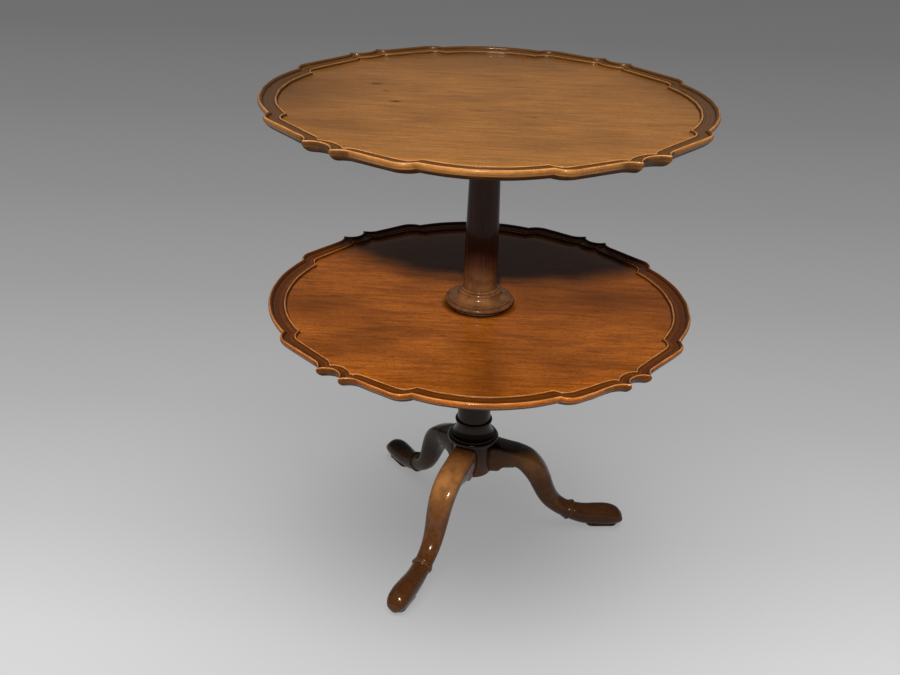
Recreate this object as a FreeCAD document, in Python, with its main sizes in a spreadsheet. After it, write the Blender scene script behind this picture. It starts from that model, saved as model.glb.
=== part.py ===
# Two-tier dumbwaiter table: two pie-crust tiers that turn on a stem with three cabriole legs.
# Millimetres, +Z up. The origin is on the floor under the stem, and the front looks towards -Y.
import FreeCAD, Part
import Sketcher
import math
import os
import re
from FreeCAD import Placement, Rotation, Vector

UP = Vector(0, 0, 1)
document = FreeCAD.newDocument("dumbwaiter_table")

# Driving sizes: name, value, what it measures
DRIVING_SIZES = [
    ("overall_height", 700, "floor to the upper tier's lip"),
    ("lower_tier_height", 405.3, "floor to the lower tier's lip"),
    ("upper_tier_radius", 305, "axis to the middle of a plain arc"),
    ("lower_tier_radius", 304, "axis to the middle of a plain arc"),
    ("board_depth", 17, "lip to the flat underside"),
    ("field_sink", 6.3, "lip down to the dished field"),
    ("rim_width", 25.8, "carved moulding, edge to field"),
    ("notch_drop", 7, "a plain arc's end, inside its middle"),
    ("tip_rise", 6, "cusp tip, outside a plain arc's middle"),
    ("ear_radius", 27, "round of the ear beside a notch"),
    ("hollow_radius", 26, "hollow before a cusp tip"),
    ("scoop_depth", 13.5, "scoop between two cusp tips"),
    ("inner_ear_radius", 22, "the same ear where the moulding meets the field"),
    ("inner_hollow_radius", 20, "the same hollow there"),
    ("inner_scoop_depth", 6, "the same scoop there"),
    ("lower_block_radius", 62, "bearing block under the lower tier"),
    ("lower_block_depth", 26, ""),
    ("upper_block_radius", 55, "bearing block under the upper tier"),
    ("upper_block_depth", 24, ""),
    ("block_edge_round", 9, "rounding of a block's lower edge"),
    ("lower_screw_circle", 43, "radius of the lower block's screw circle"),
    ("upper_screw_circle", 37, "radius of the upper block's screw circle"),
    ("block_screw_bite", 7, "screw point above a block, into the board"),
    ("washer_thickness", 1.5, "leather washers under the blocks"),
    ("seat_washer_thickness", 1, "leather washer let into the field, under the column"),
    ("seat_washer_radius", 46, ""),
    ("running_clearance", 0.3, "pivots, and the column above its washer"),
    ("fitting_clearance", 0.15, "tongues, screws and the screwed spigot"),
    ("cut_overrun", 1, "cuts run past a face by this"),
    ("journal_radius", 15, "spigot where the lower tier turns"),
    ("spigot_screw_radius", 12.5, "spigot end that the column screws on"),
    ("spigot_screw_length", 36, ""),
    ("spigot_end_chamfer", 2, ""),
    ("socket_end_gap", 3, "air above the spigot's end"),
    ("pivot_radius", 12, "column's top pivot"),
    ("pivot_end_gap", 2, "air between the pivot and the board"),
    ("keeper_groove_width", 5, "groove round the top pivot"),
    ("keeper_groove_depth", 2.4, ""),
    ("pillar_top_radius", 33, "collar under the lower block"),
    ("pillar_top_collar", 5, "its height"),
    ("pillar_neck_radius", 22.5, "pillar just under that collar"),
    ("pillar_neck_flare", 12, "height of the flare into the collar"),
    ("pillar_waist_radius", 25.2, "pillar over the skirt's bead"),
    ("shaft_swell_radius", 8500, "long curve of the pillar's and the column's shaft"),
    ("skirt_top_radius", 28.5, "bead on the skirt"),
    ("skirt_height", 26, "ring's fillet to the top of the bead"),
    ("skirt_bead_height", 5, ""),
    ("skirt_foot_radius", 36, "foot of the skirt's hollow"),
    ("torus_radius", 39.5, "large ring over the legs"),
    ("torus_height", 9, ""),
    ("torus_fillet", 2, "flat fillet above the ring"),
    ("drum_radius", 30, "drum that takes the legs"),
    ("drum_shoulder", 6, "drum left bare between the legs and the ring"),
    ("column_foot_radius", 50, "base ring on the lower tier"),
    ("column_foot_plinth", 1.6, "straight part of the base ring"),
    ("column_foot_ring", 6.4, "half-round of the base ring"),
    ("column_step_radius", 44.5, "fillet over the ring"),
    ("column_step_height", 1.4, ""),
    ("column_cove_radius", 30.5, "where the cove ends"),
    ("column_cove_height", 8.5, ""),
    ("column_bead_radius", 31, "bead over the cove"),
    ("column_bead_height", 4, ""),
    ("column_astragal_radius", 27.2, "small bead over that"),
    ("column_astragal_height", 3, ""),
    ("column_root_radius", 24.4, "shaft at its foot"),
    ("column_neck_radius", 20, "shaft under its top collar"),
    ("column_top_radius", 29, "collar under the upper block"),
    ("column_top_collar", 4.5, ""),
    ("column_top_flare", 11, ""),
    ("leg_azimuth", 5.5, "degrees from +X to the right leg"),
    ("leg_reach", 249.6, "axis to the toe"),
    ("leg_seat", 111, "floor to the drum's underside"),
    ("leg_root_height", 49, "the leg's root on the drum"),
    ("leg_lobe_reach", 41, "axis to the end of the leg's lobe"),
    ("leg_lobe_step", 5.5, "height of the step behind the lobe"),
    ("leg_width", 40, "across the root"),
    ("leg_collar_rise", 2.6, "ring round the ankle"),
    ("foot_pad_height", 3, "pad under the foot"),
    ("foot_pad_radius", 14, "rounded toe of the pad"),
    ("foot_pad_length", 31, "between the pad's two round ends"),
    ("foot_pad_setback", 5, "toe to the pad's edge"),
    ("tongue_neck", 12, "dovetail width at the drum's face"),
    ("tongue_end", 18, "dovetail width inside"),
    ("tongue_depth", 16, ""),
    ("tongue_stop", 7, "the leg's crown above the tongue's end"),
    ("tongue_root", 3, "tongue's run into the leg"),
    ("spider_thickness", 2.5, "iron plate under the drum"),
    ("spider_hub_radius", 25, ""),
    ("spider_arm_width", 16, ""),
    ("spider_arm_reach", 66, "axis to an arm's end"),
    ("spider_screw_inner", 35, "axis to the first screw of an arm"),
    ("spider_screw_outer", 56, "axis to the second"),
    ("spider_screw_length", 24, ""),
    ("pillar_screw_length", 40, "centre screw of the plate"),
    ("screw_radius", 2.2, "shank of every screw"),
    ("screw_head_radius", 4.2, ""),
    ("screw_head_depth", 2.2, ""),
    ("screw_point_length", 4, ""),
    ("screw_point_radius", 0.6, ""),
    ("keeper_azimuth", 45, "degrees, between two screws of the upper block"),
    ("keeper_tip_radius", 1.8, "smooth tip in the groove"),
    ("keeper_tip_length", 6, ""),
]

# Sizes worked out from the driving ones
DERIVED_SIZES = [
    ("lower_field", "lower_tier_height - field_sink"),
    ("lower_board_under", "lower_tier_height - board_depth"),
    ("lower_block_under", "lower_board_under - lower_block_depth"),
    ("pillar_shoulder", "lower_block_under - washer_thickness"),
    ("upper_board_under", "overall_height - board_depth"),
    ("upper_block_under", "upper_board_under - upper_block_depth"),
    ("column_shoulder", "upper_block_under - washer_thickness"),
    ("column_foot", "lower_field + running_clearance"),
    ("seat_floor", "column_foot - seat_washer_thickness"),
    ("seat_recess_radius", "column_foot_radius + running_clearance"),
    ("journal_bore", "journal_radius + running_clearance"),
    ("pivot_bore", "pivot_radius + running_clearance"),
    ("socket_radius", "spigot_screw_radius + fitting_clearance"),
    ("spigot_end", "column_foot + spigot_screw_length"),
    ("socket_end", "spigot_end + socket_end_gap"),
    ("pivot_end", "upper_board_under - pivot_end_gap"),
    ("keeper_height", "upper_block_under + upper_block_depth / 2"),
    ("keeper_under", "keeper_height - keeper_groove_width / 2"),
    ("keeper_over", "keeper_height + keeper_groove_width / 2"),
    ("leg_crown", "leg_seat + leg_root_height"),
    ("tongue_height", "leg_root_height - tongue_stop"),
    ("torus_foot", "leg_crown + drum_shoulder"),
    ("skirt_foot_height", "torus_foot + torus_height + torus_fillet"),
    ("skirt_top_height", "skirt_foot_height + skirt_height"),
    ("torus_edge", "torus_radius - torus_height / 2"),
    ("column_ring_edge", "column_foot_radius - column_foot_ring / 2"),
    ("ring_foot", "column_foot + column_foot_plinth"),
    ("ring_top", "ring_foot + column_foot_ring"),
    ("cove_foot", "ring_top + column_step_height"),
    ("cove_top", "cove_foot + column_cove_height"),
    ("column_bead_edge", "column_bead_radius - column_bead_height / 2"),
    ("column_bead_top", "cove_top + column_bead_height"),
    ("astragal_edge", "column_astragal_radius - column_astragal_height / 2"),
    ("astragal_top", "column_bead_top + column_astragal_height"),
    ("column_collar_foot", "column_shoulder - column_top_collar"),
    ("column_neck", "column_collar_foot - column_top_flare"),
    ("column_collar_edge", "column_top_radius - column_top_collar / 2"),
    ("pillar_collar_foot", "pillar_shoulder - pillar_top_collar"),
    ("pillar_neck", "pillar_collar_foot - pillar_neck_flare"),
    ("pillar_collar_edge", "pillar_top_radius - pillar_top_collar / 2"),
    ("skirt_bead_edge", "skirt_top_radius - skirt_bead_height / 2"),
    ("skirt_bead_foot", "skirt_top_height - skirt_bead_height"),
    ("spider_under", "leg_seat - spider_thickness"),
    ("lobe_rise_reach", "leg_lobe_reach + leg_lobe_step"),
    ("limb_start", "spider_arm_reach + cut_overrun"),
    ("lobe_top", "leg_seat + leg_lobe_step"),
    ("screw_hole_radius", "screw_radius + fitting_clearance"),
    ("screw_sink_radius", "screw_head_radius + fitting_clearance"),
    ("skirt_hollow_span", "skirt_foot_radius - skirt_bead_edge"),
    ("skirt_hollow_rise", "skirt_bead_foot - skirt_foot_height"),
    ("pillar_flare_span", "pillar_collar_edge - pillar_neck_radius"),
    ("cove_span", "column_step_radius - column_cove_radius"),
    ("column_flare_span", "column_collar_edge - column_neck_radius"),
    ("pillar_pilot_end", "spider_under + pillar_screw_length + fitting_clearance"),
    ("outer_screw_under", "lobe_top - spider_thickness"),
    ("keeper_tip", "pivot_radius - keeper_groove_depth + running_clearance"),
    ("keeper_length", "upper_block_radius - screw_head_depth - keeper_tip"),
    ("keeper_hole_radius", "keeper_tip_radius + fitting_clearance"),
    ("pad_toe", "leg_reach - foot_pad_setback - foot_pad_radius"),
    ("pad_heel", "pad_toe - foot_pad_length"),
]

# Angles of the two pie-crust outlines, in degrees. A quarter runs from the middle of a front
# or back arc round to the middle of a side arc.
UPPER_ANGLES = {
    "front_angle": 14.9,
    "side_angle": 22.7,
    "cusp_angle": 39.1,
    "half_cusp_angle": 4.3,
    "turned_angle": 0.0,
}
LOWER_ANGLES = {
    "front_angle": 18.1,
    "side_angle": 24.5,
    "cusp_angle": 40.2,
    "half_cusp_angle": 3.6,
    "turned_angle": 2.85,
}
EAR_ANGLE, INNER_EAR_ANGLE = 47.0, 60.0
TIP_ANGLE, INNER_TIP_ANGLE = 57.0, 46.0

# Rim section from the flat underside round the edge and over the moulding to the field:
# inset as a share of rim_width, drop below the lip as a share of board_depth or field_sink
EDGE_SHARES = [
    (0.66, 1.0),
    (0.39, 0.855),
    (0.155, 0.59),
    (0.03, 0.355),
    (0.0, 0.21),
    (0.025, 0.07),
]
MOULDING_SHARES = [
    (0.085, 0.0),
    (0.17, 0.03),
    (0.265, 0.48),
    (0.35, 0.67),
    (0.58, 0.80),
    (0.83, 0.66),
    (0.92, 0.50),
    (1.0, 1.0),
]

# Leg stations from the root to the toe. Reach shares run from the end of the plate's arm to the
# toe and height shares from the floor to the leg's crown; the rest are shares of leg_width. The
# ankle's ring sits between the limb's last station and the foot's first.
# top reach, top height, under reach, under height, width, flat on top, flat under
LIMB_STATION_SHARES = [
    (0.056, 0.920, 0.016, 0.715, 0.99, 0.83, 0.68),
    (0.173, 0.853, 0.080, 0.634, 0.97, 0.80, 0.62),
    (0.265, 0.738, 0.132, 0.543, 0.94, 0.72, 0.56),
    (0.322, 0.604, 0.175, 0.446, 0.88, 0.62, 0.52),
    (0.361, 0.472, 0.224, 0.340, 0.81, 0.54, 0.48),
    (0.411, 0.361, 0.290, 0.240, 0.75, 0.48, 0.46),
    (0.483, 0.288, 0.391, 0.147, 0.71, 0.42, 0.46),
]
FOOT_STATION_SHARES = [
    (0.569, 0.250, 0.515, 0.077, 0.70, 0.38, 0.48),
    (0.658, 0.234, 0.633, 0.030, 0.74, 0.40, 0.56),
    (0.759, 0.233, 0.753, 0.018, 0.81, 0.44, 0.68),
    (0.856, 0.226, 0.862, 0.016, 0.84, 0.45, 0.72),
    (0.937, 0.192, 0.940, 0.018, 0.77, 0.42, 0.62),
    (0.986, 0.132, 0.983, 0.026, 0.56, 0.28, 0.40),
    (1.000, 0.084, 0.998, 0.044, 0.26, 0.12, 0.16),
]
COLLAR_STATION_SHARES = [0.52, 0.64, 0.80, 0.92]
COLLAR_RISE_SHARES = [-0.3, 1.0, 1.0, -0.3]
ROOT_TOP_SHARE, ROOT_UNDER_SHARE = 0.86, 0.80
CROWN_SHARE, SIDE_WIDEST_SHARE = 0.05, 0.40
ROOT_LOBE_CROWN_SHARE, ROOT_END_CROWN_SHARE, ARM_END_CROWN_SHARE = 0.99, 0.975, 0.932

sheet = document.addObject("Spreadsheet::Sheet", "sizes")


def fill_sheet():
    """Write the driving sizes as numbers and the derived ones as formulas."""
    rows = [(name, str(value), note) for name, value, note in DRIVING_SIZES]
    rows += [(name, "=" + formula, "") for name, formula in DERIVED_SIZES]
    for row, (name, content, note) in enumerate(rows, start=1):
        sheet.set("A%d" % row, content)
        sheet.setAlias("A%d" % row, name)
        sheet.set("B%d" % row, note)
    document.recompute()


fill_sheet()
SIZE_NAMES = {name for name, _, _ in DRIVING_SIZES} | {name for name, _ in DERIVED_SIZES}


def size(name):
    """The present value of a named size."""
    return float(getattr(sheet, name))


def linked(expression):
    """An expression of size names, written as references to the sheet."""
    def with_sheet(match):
        word = match.group(0)
        return "sizes." + word if word in SIZE_NAMES else word
    return re.sub(r"[a-z_]+", with_sheet, expression)


def value(expression):
    """The present value of an expression of size names."""
    return float(sheet.evalExpression(linked(expression)))


def bind(feature, **expressions):
    """Bind a feature's properties to expressions of size names."""
    for name, expression in expressions.items():
        feature.setExpression(name, linked(expression))


def new_body(label):
    body = document.addObject("PartDesign::Body", label)
    body.Label = label
    return body


def origin_plane(body, role):
    return next(item for item in body.Origin.OriginFeatures if item.Role == role)


def new_sketch(body, name, role, lift="0"):
    """A sketch on one of the body's own planes, lifted along the plane's normal."""
    sketch = body.newObject("Sketcher::SketchObject", name)
    sketch.AttachmentSupport = [(origin_plane(body, role), "")]
    sketch.MapMode = "FlatFace"
    sketch.setExpression(".AttachmentOffset.Base.z", linked(lift))
    return sketch


def place_point(sketch, geometry, vertex, across, along):
    """Hold a vertex at two named distances from the sketch's origin."""
    for kind, axis, expression in (("DistanceX", -2, across), ("DistanceY", -1, along)):
        if expression == "0":
            sketch.addConstraint(Sketcher.Constraint("PointOnObject", geometry, vertex, axis))
            continue
        constraint = Sketcher.Constraint(kind, -1, 1, geometry, vertex, value(expression))
        number = sketch.addConstraint(constraint)
        sketch.setExpression("Constraints[%d]" % number, linked(expression))


def straight(across, along):
    """An outline corner reached by a straight line."""
    return {"at": (across, along)}


def rounded(across, along, centre, turn):
    """An outline corner reached by an arc about a centre at a named distance across."""
    return {"at": (across, along), "centre": centre, "turn": turn}


def draw_outline(sketch, corners):
    """Draw a closed outline of lines and arcs, with every corner bound to named sizes."""
    spots = [Vector(value(corner["at"][0]), value(corner["at"][1]), 0) for corner in corners]
    ends = []
    for number, corner in enumerate(corners):
        start, end = spots[number - 1], spots[number]
        if "centre" not in corner:
            sketch.addGeometry(Part.LineSegment(start, end), False)
            ends.append((1, 2))
            continue
        across = value(corner["centre"])
        middle = (start + end) / 2
        chord = end - start
        along = middle.y - (across - middle.x) * chord.x / chord.y
        centre = Vector(across, along, 0)
        first, last = (start, end) if corner["turn"] > 0 else (end, start)
        arc = Part.ArcOfCircle(
            Part.Circle(centre, UP, (start - centre).Length),
            math.atan2(first.y - along, first.x - across),
            math.atan2(last.y - along, last.x - across),
        )
        sketch.addGeometry(arc, False)
        ends.append((1, 2) if corner["turn"] > 0 else (2, 1))
    for number in range(len(corners)):
        following = (number + 1) % len(corners)
        sketch.addConstraint(
            Sketcher.Constraint("Coincident", number, ends[number][1], following, ends[following][0])
        )
    for number, corner in enumerate(corners):
        place_point(sketch, number, ends[number][1], *corner["at"])
        if "centre" in corner:
            hold = Sketcher.Constraint("DistanceX", -1, 1, number, 3, value(corner["centre"]))
            place = sketch.addConstraint(hold)
            sketch.setExpression("Constraints[%d]" % place, linked(corner["centre"]))


def turned(label, corners):
    """A body turned about the Z axis from an outline of radius and height."""
    body = new_body(label)
    sketch = new_sketch(body, label + "_outline", "XZ_Plane")
    draw_outline(sketch, corners)
    turning = body.newObject("PartDesign::Revolution", label + "_turning")
    turning.Profile = sketch
    turning.ReferenceAxis = (sketch, ["V_Axis"])
    turning.Angle = 360
    return body


def repeat_round(body, feature, name, count):
    """Repeat a feature evenly round the body's Z axis."""
    pattern = body.newObject("PartDesign::PolarPattern", name)
    pattern.Originals = [feature]
    pattern.Axis = (origin_plane(body, "Z_Axis"), [""])
    pattern.Angle = 360
    pattern.Occurrences = count
    body.Tip = pattern
    return pattern


# Pie-crust tiers


def level(number):
    """The rim's inset and height for one level of its section, as shares of named sizes."""
    shares = EDGE_SHARES + MOULDING_SHARES
    inset, drop = shares[number]
    depth = size("board_depth") if number < len(EDGE_SHARES) else size("field_sink")
    return inset, drop * depth


def ogee(notch, tip, sense, share):
    """Ear, slope and hollow from a notch to a cusp tip: two arcs and their common tangent.

    sense is 1 where the tip lies anticlockwise of the notch; share is how far in the level is."""
    def blend(outer, inner):
        return outer + (inner - outer) * share

    def turn(vector):
        return Vector(-vector.y, vector.x, 0) * sense

    def heading(spot, angle):
        outward = Vector(spot).normalize()
        return turn(outward) * math.cos(math.radians(angle)) + outward * math.sin(math.radians(angle))

    ear = blend(size("ear_radius"), size("inner_ear_radius"))
    hollow = blend(size("hollow_radius"), size("inner_hollow_radius"))
    ear_centre = notch + turn(heading(notch, blend(EAR_ANGLE, INNER_EAR_ANGLE))) * ear
    hollow_centre = tip - turn(heading(tip, blend(TIP_ANGLE, INNER_TIP_ANGLE))) * hollow
    between = hollow_centre - ear_centre
    slope = math.sqrt(between.Length ** 2 - (ear + hollow) ** 2)
    angle = math.atan2(between.y, between.x) + sense * math.atan2(ear + hollow, slope)
    along = Vector(math.cos(angle), math.sin(angle), 0)
    ear_end = ear_centre - turn(along) * ear
    hollow_start = hollow_centre + turn(along) * hollow
    ear_middle = (notch + ear_end) / 2 - ear_centre
    hollow_middle = (hollow_start + tip) / 2 - hollow_centre
    ear_top = ear_centre + ear_middle.normalize() * ear
    hollow_foot = hollow_centre + hollow_middle.normalize() * hollow
    return [notch, ear_top, ear_end, hollow_start, hollow_foot, tip]


def rim_wire(radius, angles, share, height):
    """The pie-crust outline at one level: plain arcs, ogees and scoops, four of each side."""
    inset = share * size("rim_width")
    plain = radius - inset
    notch_radius = plain - size("notch_drop")
    tip_radius = plain + size("tip_rise")
    scoop = size("scoop_depth") + (size("inner_scoop_depth") - size("scoop_depth")) * share

    def spot(distance, degrees):
        bearing = math.radians(degrees + angles["turned_angle"])
        return Vector(distance * math.cos(bearing), distance * math.sin(bearing), 0)

    sides = [(-90, "front_angle"), (0, "side_angle"), (90, "front_angle"), (180, "side_angle")]
    edges = []
    for number, (bearing, kind) in enumerate(sides):
        half = angles[kind]
        next_kind = sides[(number + 1) % len(sides)][1]
        along = angles["cusp_angle"]
        cusp = bearing + (along if kind == "front_angle" else 90 - along)
        notch = spot(notch_radius, bearing + half)
        tip = spot(tip_radius, cusp - angles["half_cusp_angle"])
        next_tip = spot(tip_radius, cusp + angles["half_cusp_angle"])
        next_notch = spot(notch_radius, bearing + 90 - angles[next_kind])
        edges.append(Part.Arc(spot(notch_radius, bearing - half), spot(plain, bearing), notch))
        out = ogee(notch, tip, 1, share)
        back = ogee(next_notch, next_tip, -1, share)[::-1]
        edges += [Part.Arc(*out[:3]), Part.LineSegment(*out[2:4]), Part.Arc(*out[3:])]
        edges.append(Part.Arc(tip, spot(tip_radius - scoop, cusp), next_tip))
        edges += [Part.Arc(*back[:3]), Part.LineSegment(*back[2:4]), Part.Arc(*back[3:])]
    wire = Part.Wire([edge.toShape() for edge in edges])
    wire.translate(Vector(0, 0, height))
    return wire


def tier(label, radius, angles, lip, bore, screw_circle):
    """A one-piece dished top: carved blank, pilot holes, and a bore and seat where it has them."""
    wires = []
    for number in range(len(EDGE_SHARES + MOULDING_SHARES)):
        share, drop = level(number)
        wires.append(rim_wire(size(radius), angles, share, size(lip) - drop))
    blank = document.addObject("Part::Feature", label + "_blank")
    blank.Shape = Part.makeLoft(wires, True, True)
    body = new_body(label)
    body.BaseFeature = blank
    document.recompute()
    under = lip + " - board_depth"
    if bore:
        sketch = new_sketch(body, label + "_bore_circle", "XY_Plane", under)
        draw_circle(sketch, "0", bore)
        boring = body.newObject("PartDesign::Pocket", label + "_bore")
        boring.Profile = sketch
        boring.Reversed = True
        boring.Type = "ThroughAll"
        sketch = new_sketch(body, label + "_seat_circle", "XY_Plane", "seat_floor")
        draw_circle(sketch, "0", "seat_recess_radius")
        seat = body.newObject("PartDesign::Pocket", label + "_seat")
        seat.Profile = sketch
        seat.Reversed = True
        bind(seat, Length="field_sink")
    sketch = new_sketch(body, label + "_pilot_circle", "XY_Plane", under)
    draw_circle(sketch, screw_circle, "screw_hole_radius")
    pilot = body.newObject("PartDesign::Pocket", label + "_pilot")
    pilot.Profile = sketch
    pilot.Reversed = True
    bind(pilot, Length="block_screw_bite + fitting_clearance")
    repeat_round(body, pilot, label + "_pilots", 4)
    return body


def draw_circle(sketch, across, radius):
    """A circle on the sketch's horizontal axis, bound to named sizes."""
    circle = Part.Circle(Vector(value(across), 0, 0), UP, value(radius))
    number = sketch.addGeometry(circle, False)
    place_point(sketch, number, 3, across, "0")
    hold = sketch.addConstraint(Sketcher.Constraint("Radius", number, value(radius)))
    sketch.setExpression("Constraints[%d]" % hold, linked(radius))


# Holes and screws


def draw_axis(sketch, start, end):
    """A construction line between two bound points, to turn an outline about."""
    ends = [Vector(value(across), value(along), 0) for across, along in (start, end)]
    number = sketch.addGeometry(Part.LineSegment(*ends), True)
    place_point(sketch, number, 1, *start)
    place_point(sketch, number, 2, *end)


def screw_corners(centre, under, point):
    """Half outline of a countersunk wood screw that points up."""
    return [
        straight(centre, under),
        straight(centre + " + screw_head_radius", under),
        straight(centre + " + screw_radius", under + " + screw_head_depth"),
        straight(centre + " + screw_radius", point + " - screw_point_length"),
        straight(centre + " + screw_point_radius", point),
        straight(centre, point),
    ]


def hole_corners(centre, under, top):
    """Half outline of the hole for such a screw."""
    return [
        straight(centre, under + " - cut_overrun"),
        straight(centre + " + screw_sink_radius", under + " - cut_overrun"),
        straight(centre + " + screw_sink_radius", under),
        straight(centre + " + screw_hole_radius", under + " + screw_head_depth"),
        straight(centre + " + screw_hole_radius", top + " + cut_overrun"),
        straight(centre, top + " + cut_overrun"),
    ]


def upright_turning(body, kind, name, centre, corners):
    """Turn an outline about an upright line at a named distance from the axis."""
    sketch = new_sketch(body, name + "_outline", "XZ_Plane")
    draw_outline(sketch, corners)
    draw_axis(sketch, (centre, corners[0]["at"][1]), (centre, corners[-1]["at"][1]))
    feature = body.newObject(kind, name)
    feature.Profile = sketch
    feature.ReferenceAxis = (sketch, ["Axis0"])
    feature.Angle = 360
    return feature


def block_screws(label, circle, under, top):
    """The four screws that hold a block to its tier."""
    body = new_body(label)
    corners = screw_corners(circle, under, top + " + block_screw_bite")
    screw = upright_turning(body, "PartDesign::Revolution", label + "_screw", circle, corners)
    repeat_round(body, screw, label + "_ring", 4)
    return body


def block(label, radius, bore, circle, under, top):
    """A turned bearing block with its bore and four screw holes."""
    body = turned(label, [
        straight(bore, under),
        straight(radius + " - block_edge_round", under),
        rounded(radius, under + " + block_edge_round", radius + " - block_edge_round", 1),
        straight(radius, top),
        straight(bore, top),
    ])
    corners = hole_corners(circle, under, top)
    hole = upright_turning(body, "PartDesign::Groove", label + "_hole", circle, corners)
    repeat_round(body, hole, label + "_holes", 4)
    return body


def washer(label, inner, outer, under, top):
    """A flat leather washer."""
    return turned(label, [
        straight(inner, under),
        straight(outer, under),
        straight(outer, top),
        straight(inner, top),
    ])


def keeper_hole(body):
    """The keeper screw's hole, from the upper block's side into its bore."""
    sketch = new_sketch(body, "keeper_hole_outline", "XZ_Plane")
    turned_round = Rotation(Vector(0, 1, 0), size("keeper_azimuth"))
    sketch.AttachmentOffset = Placement(Vector(0, 0, 0), turned_round)
    sink = "upper_block_radius - screw_head_depth"
    draw_outline(sketch, [
        straight("pivot_radius", "keeper_height"),
        straight("upper_block_radius + cut_overrun", "keeper_height"),
        straight("upper_block_radius + cut_overrun", "keeper_height + screw_sink_radius"),
        straight(sink + " - fitting_clearance", "keeper_height + screw_sink_radius"),
        straight(sink + " - fitting_clearance", "keeper_height + screw_hole_radius"),
        straight("pivot_radius", "keeper_height + screw_hole_radius"),
    ])
    draw_axis(sketch, ("pivot_radius", "keeper_height"), ("upper_block_radius", "keeper_height"))
    hole = body.newObject("PartDesign::Groove", "keeper_hole")
    hole.Profile = sketch
    hole.ReferenceAxis = (sketch, ["Axis0"])
    hole.Angle = 360


def keeper_screw():
    """A round-headed screw, its smooth tip in the groove of the column's pivot."""
    body = turned("keeper_screw", [
        straight("0", "0"),
        straight("keeper_tip_radius", "0"),
        straight("keeper_tip_radius", "keeper_tip_length"),
        straight("screw_radius", "keeper_tip_length"),
        straight("screw_radius", "keeper_length"),
        straight("screw_head_radius", "keeper_length"),
        straight("screw_head_radius", "keeper_length + screw_head_depth"),
        straight("0", "keeper_length + screw_head_depth"),
    ])
    bearing = Rotation(UP, size("keeper_azimuth"))
    place = bearing.multVec(Vector(size("keeper_tip"), 0, size("keeper_height")))
    body.Placement = Placement(place, bearing * Rotation(Vector(0, 1, 0), 90))
    return body


# Stem


def hollow_centre(edge, span, rise):
    """Distance across of the centre of an arc that ends upright at edge."""
    return "%s + (%s * %s + (%s) * (%s)) / (2 * %s)" % (edge, span, span, rise, rise, span)


def pillar():
    """The lower stem: drum with three dovetail sockets, ring, skirt, shaft, collar and spigot."""
    body = turned("pillar", [
        straight("0", "pillar_pilot_end"),
        straight("screw_hole_radius", "pillar_pilot_end"),
        straight("screw_hole_radius", "leg_seat"),
        straight("drum_radius", "leg_seat"),
        straight("drum_radius", "torus_foot"),
        straight("torus_edge", "torus_foot"),
        rounded("torus_edge", "torus_foot + torus_height", "torus_edge", 1),
        straight("skirt_foot_radius", "torus_foot + torus_height"),
        straight("skirt_foot_radius", "skirt_foot_height"),
        rounded(
            "skirt_bead_edge",
            "skirt_bead_foot",
            hollow_centre("skirt_bead_edge", "skirt_hollow_span", "skirt_hollow_rise"),
            -1,
        ),
        rounded("skirt_bead_edge", "skirt_top_height", "skirt_bead_edge", 1),
        straight("pillar_waist_radius", "skirt_top_height"),
        rounded(
            "pillar_neck_radius", "pillar_neck", "pillar_waist_radius - shaft_swell_radius", 1
        ),
        rounded(
            "pillar_collar_edge",
            "pillar_collar_foot",
            hollow_centre("pillar_neck_radius", "pillar_flare_span", "pillar_neck_flare"),
            -1,
        ),
        rounded("pillar_collar_edge", "pillar_shoulder", "pillar_collar_edge", 1),
        straight("journal_radius", "pillar_shoulder"),
        straight("journal_radius", "column_foot"),
        straight("spigot_screw_radius", "column_foot"),
        straight("spigot_screw_radius", "spigot_end - spigot_end_chamfer"),
        straight("spigot_screw_radius - spigot_end_chamfer", "spigot_end"),
        straight("0", "spigot_end"),
    ])
    sketch = new_sketch(body, "socket_outline", "XY_Plane", "leg_seat")
    draw_outline(sketch, tongue_corners("fitting_clearance"))
    socket = body.newObject("PartDesign::Pocket", "socket")
    socket.Profile = sketch
    socket.Reversed = True
    bind(socket, Length="tongue_height + fitting_clearance")
    repeat_round(body, socket, "sockets", 3)
    body.Placement = Placement(Vector(0, 0, 0), Rotation(UP, size("leg_azimuth")))
    return body


def column():
    """The upper stem: base ring, cove and beads, shaft, collar, grooved pivot and blind socket."""
    return turned("column", [
        straight("0", "socket_end"),
        straight("socket_radius", "socket_end"),
        straight("socket_radius", "column_foot"),
        straight("column_ring_edge", "column_foot"),
        straight("column_ring_edge", "ring_foot"),
        rounded("column_ring_edge", "ring_top", "column_ring_edge", 1),
        straight("column_step_radius", "ring_top"),
        straight("column_step_radius", "cove_foot"),
        rounded(
            "column_cove_radius",
            "cove_top",
            hollow_centre("column_cove_radius", "cove_span", "column_cove_height"),
            -1,
        ),
        straight("column_bead_edge", "cove_top"),
        rounded("column_bead_edge", "column_bead_top", "column_bead_edge", 1),
        straight("astragal_edge", "column_bead_top"),
        rounded("astragal_edge", "astragal_top", "astragal_edge", 1),
        straight("column_root_radius", "astragal_top"),
        rounded("column_neck_radius", "column_neck", "column_root_radius - shaft_swell_radius", 1),
        rounded(
            "column_collar_edge",
            "column_collar_foot",
            hollow_centre("column_neck_radius", "column_flare_span", "column_top_flare"),
            -1,
        ),
        rounded("column_collar_edge", "column_shoulder", "column_collar_edge", 1),
        straight("pivot_radius", "column_shoulder"),
        straight("pivot_radius", "keeper_under"),
        straight("pivot_radius - keeper_groove_depth", "keeper_under"),
        straight("pivot_radius - keeper_groove_depth", "keeper_over"),
        straight("pivot_radius", "keeper_over"),
        straight("pivot_radius", "pivot_end"),
        straight("0", "pivot_end"),
    ])


# Legs


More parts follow.
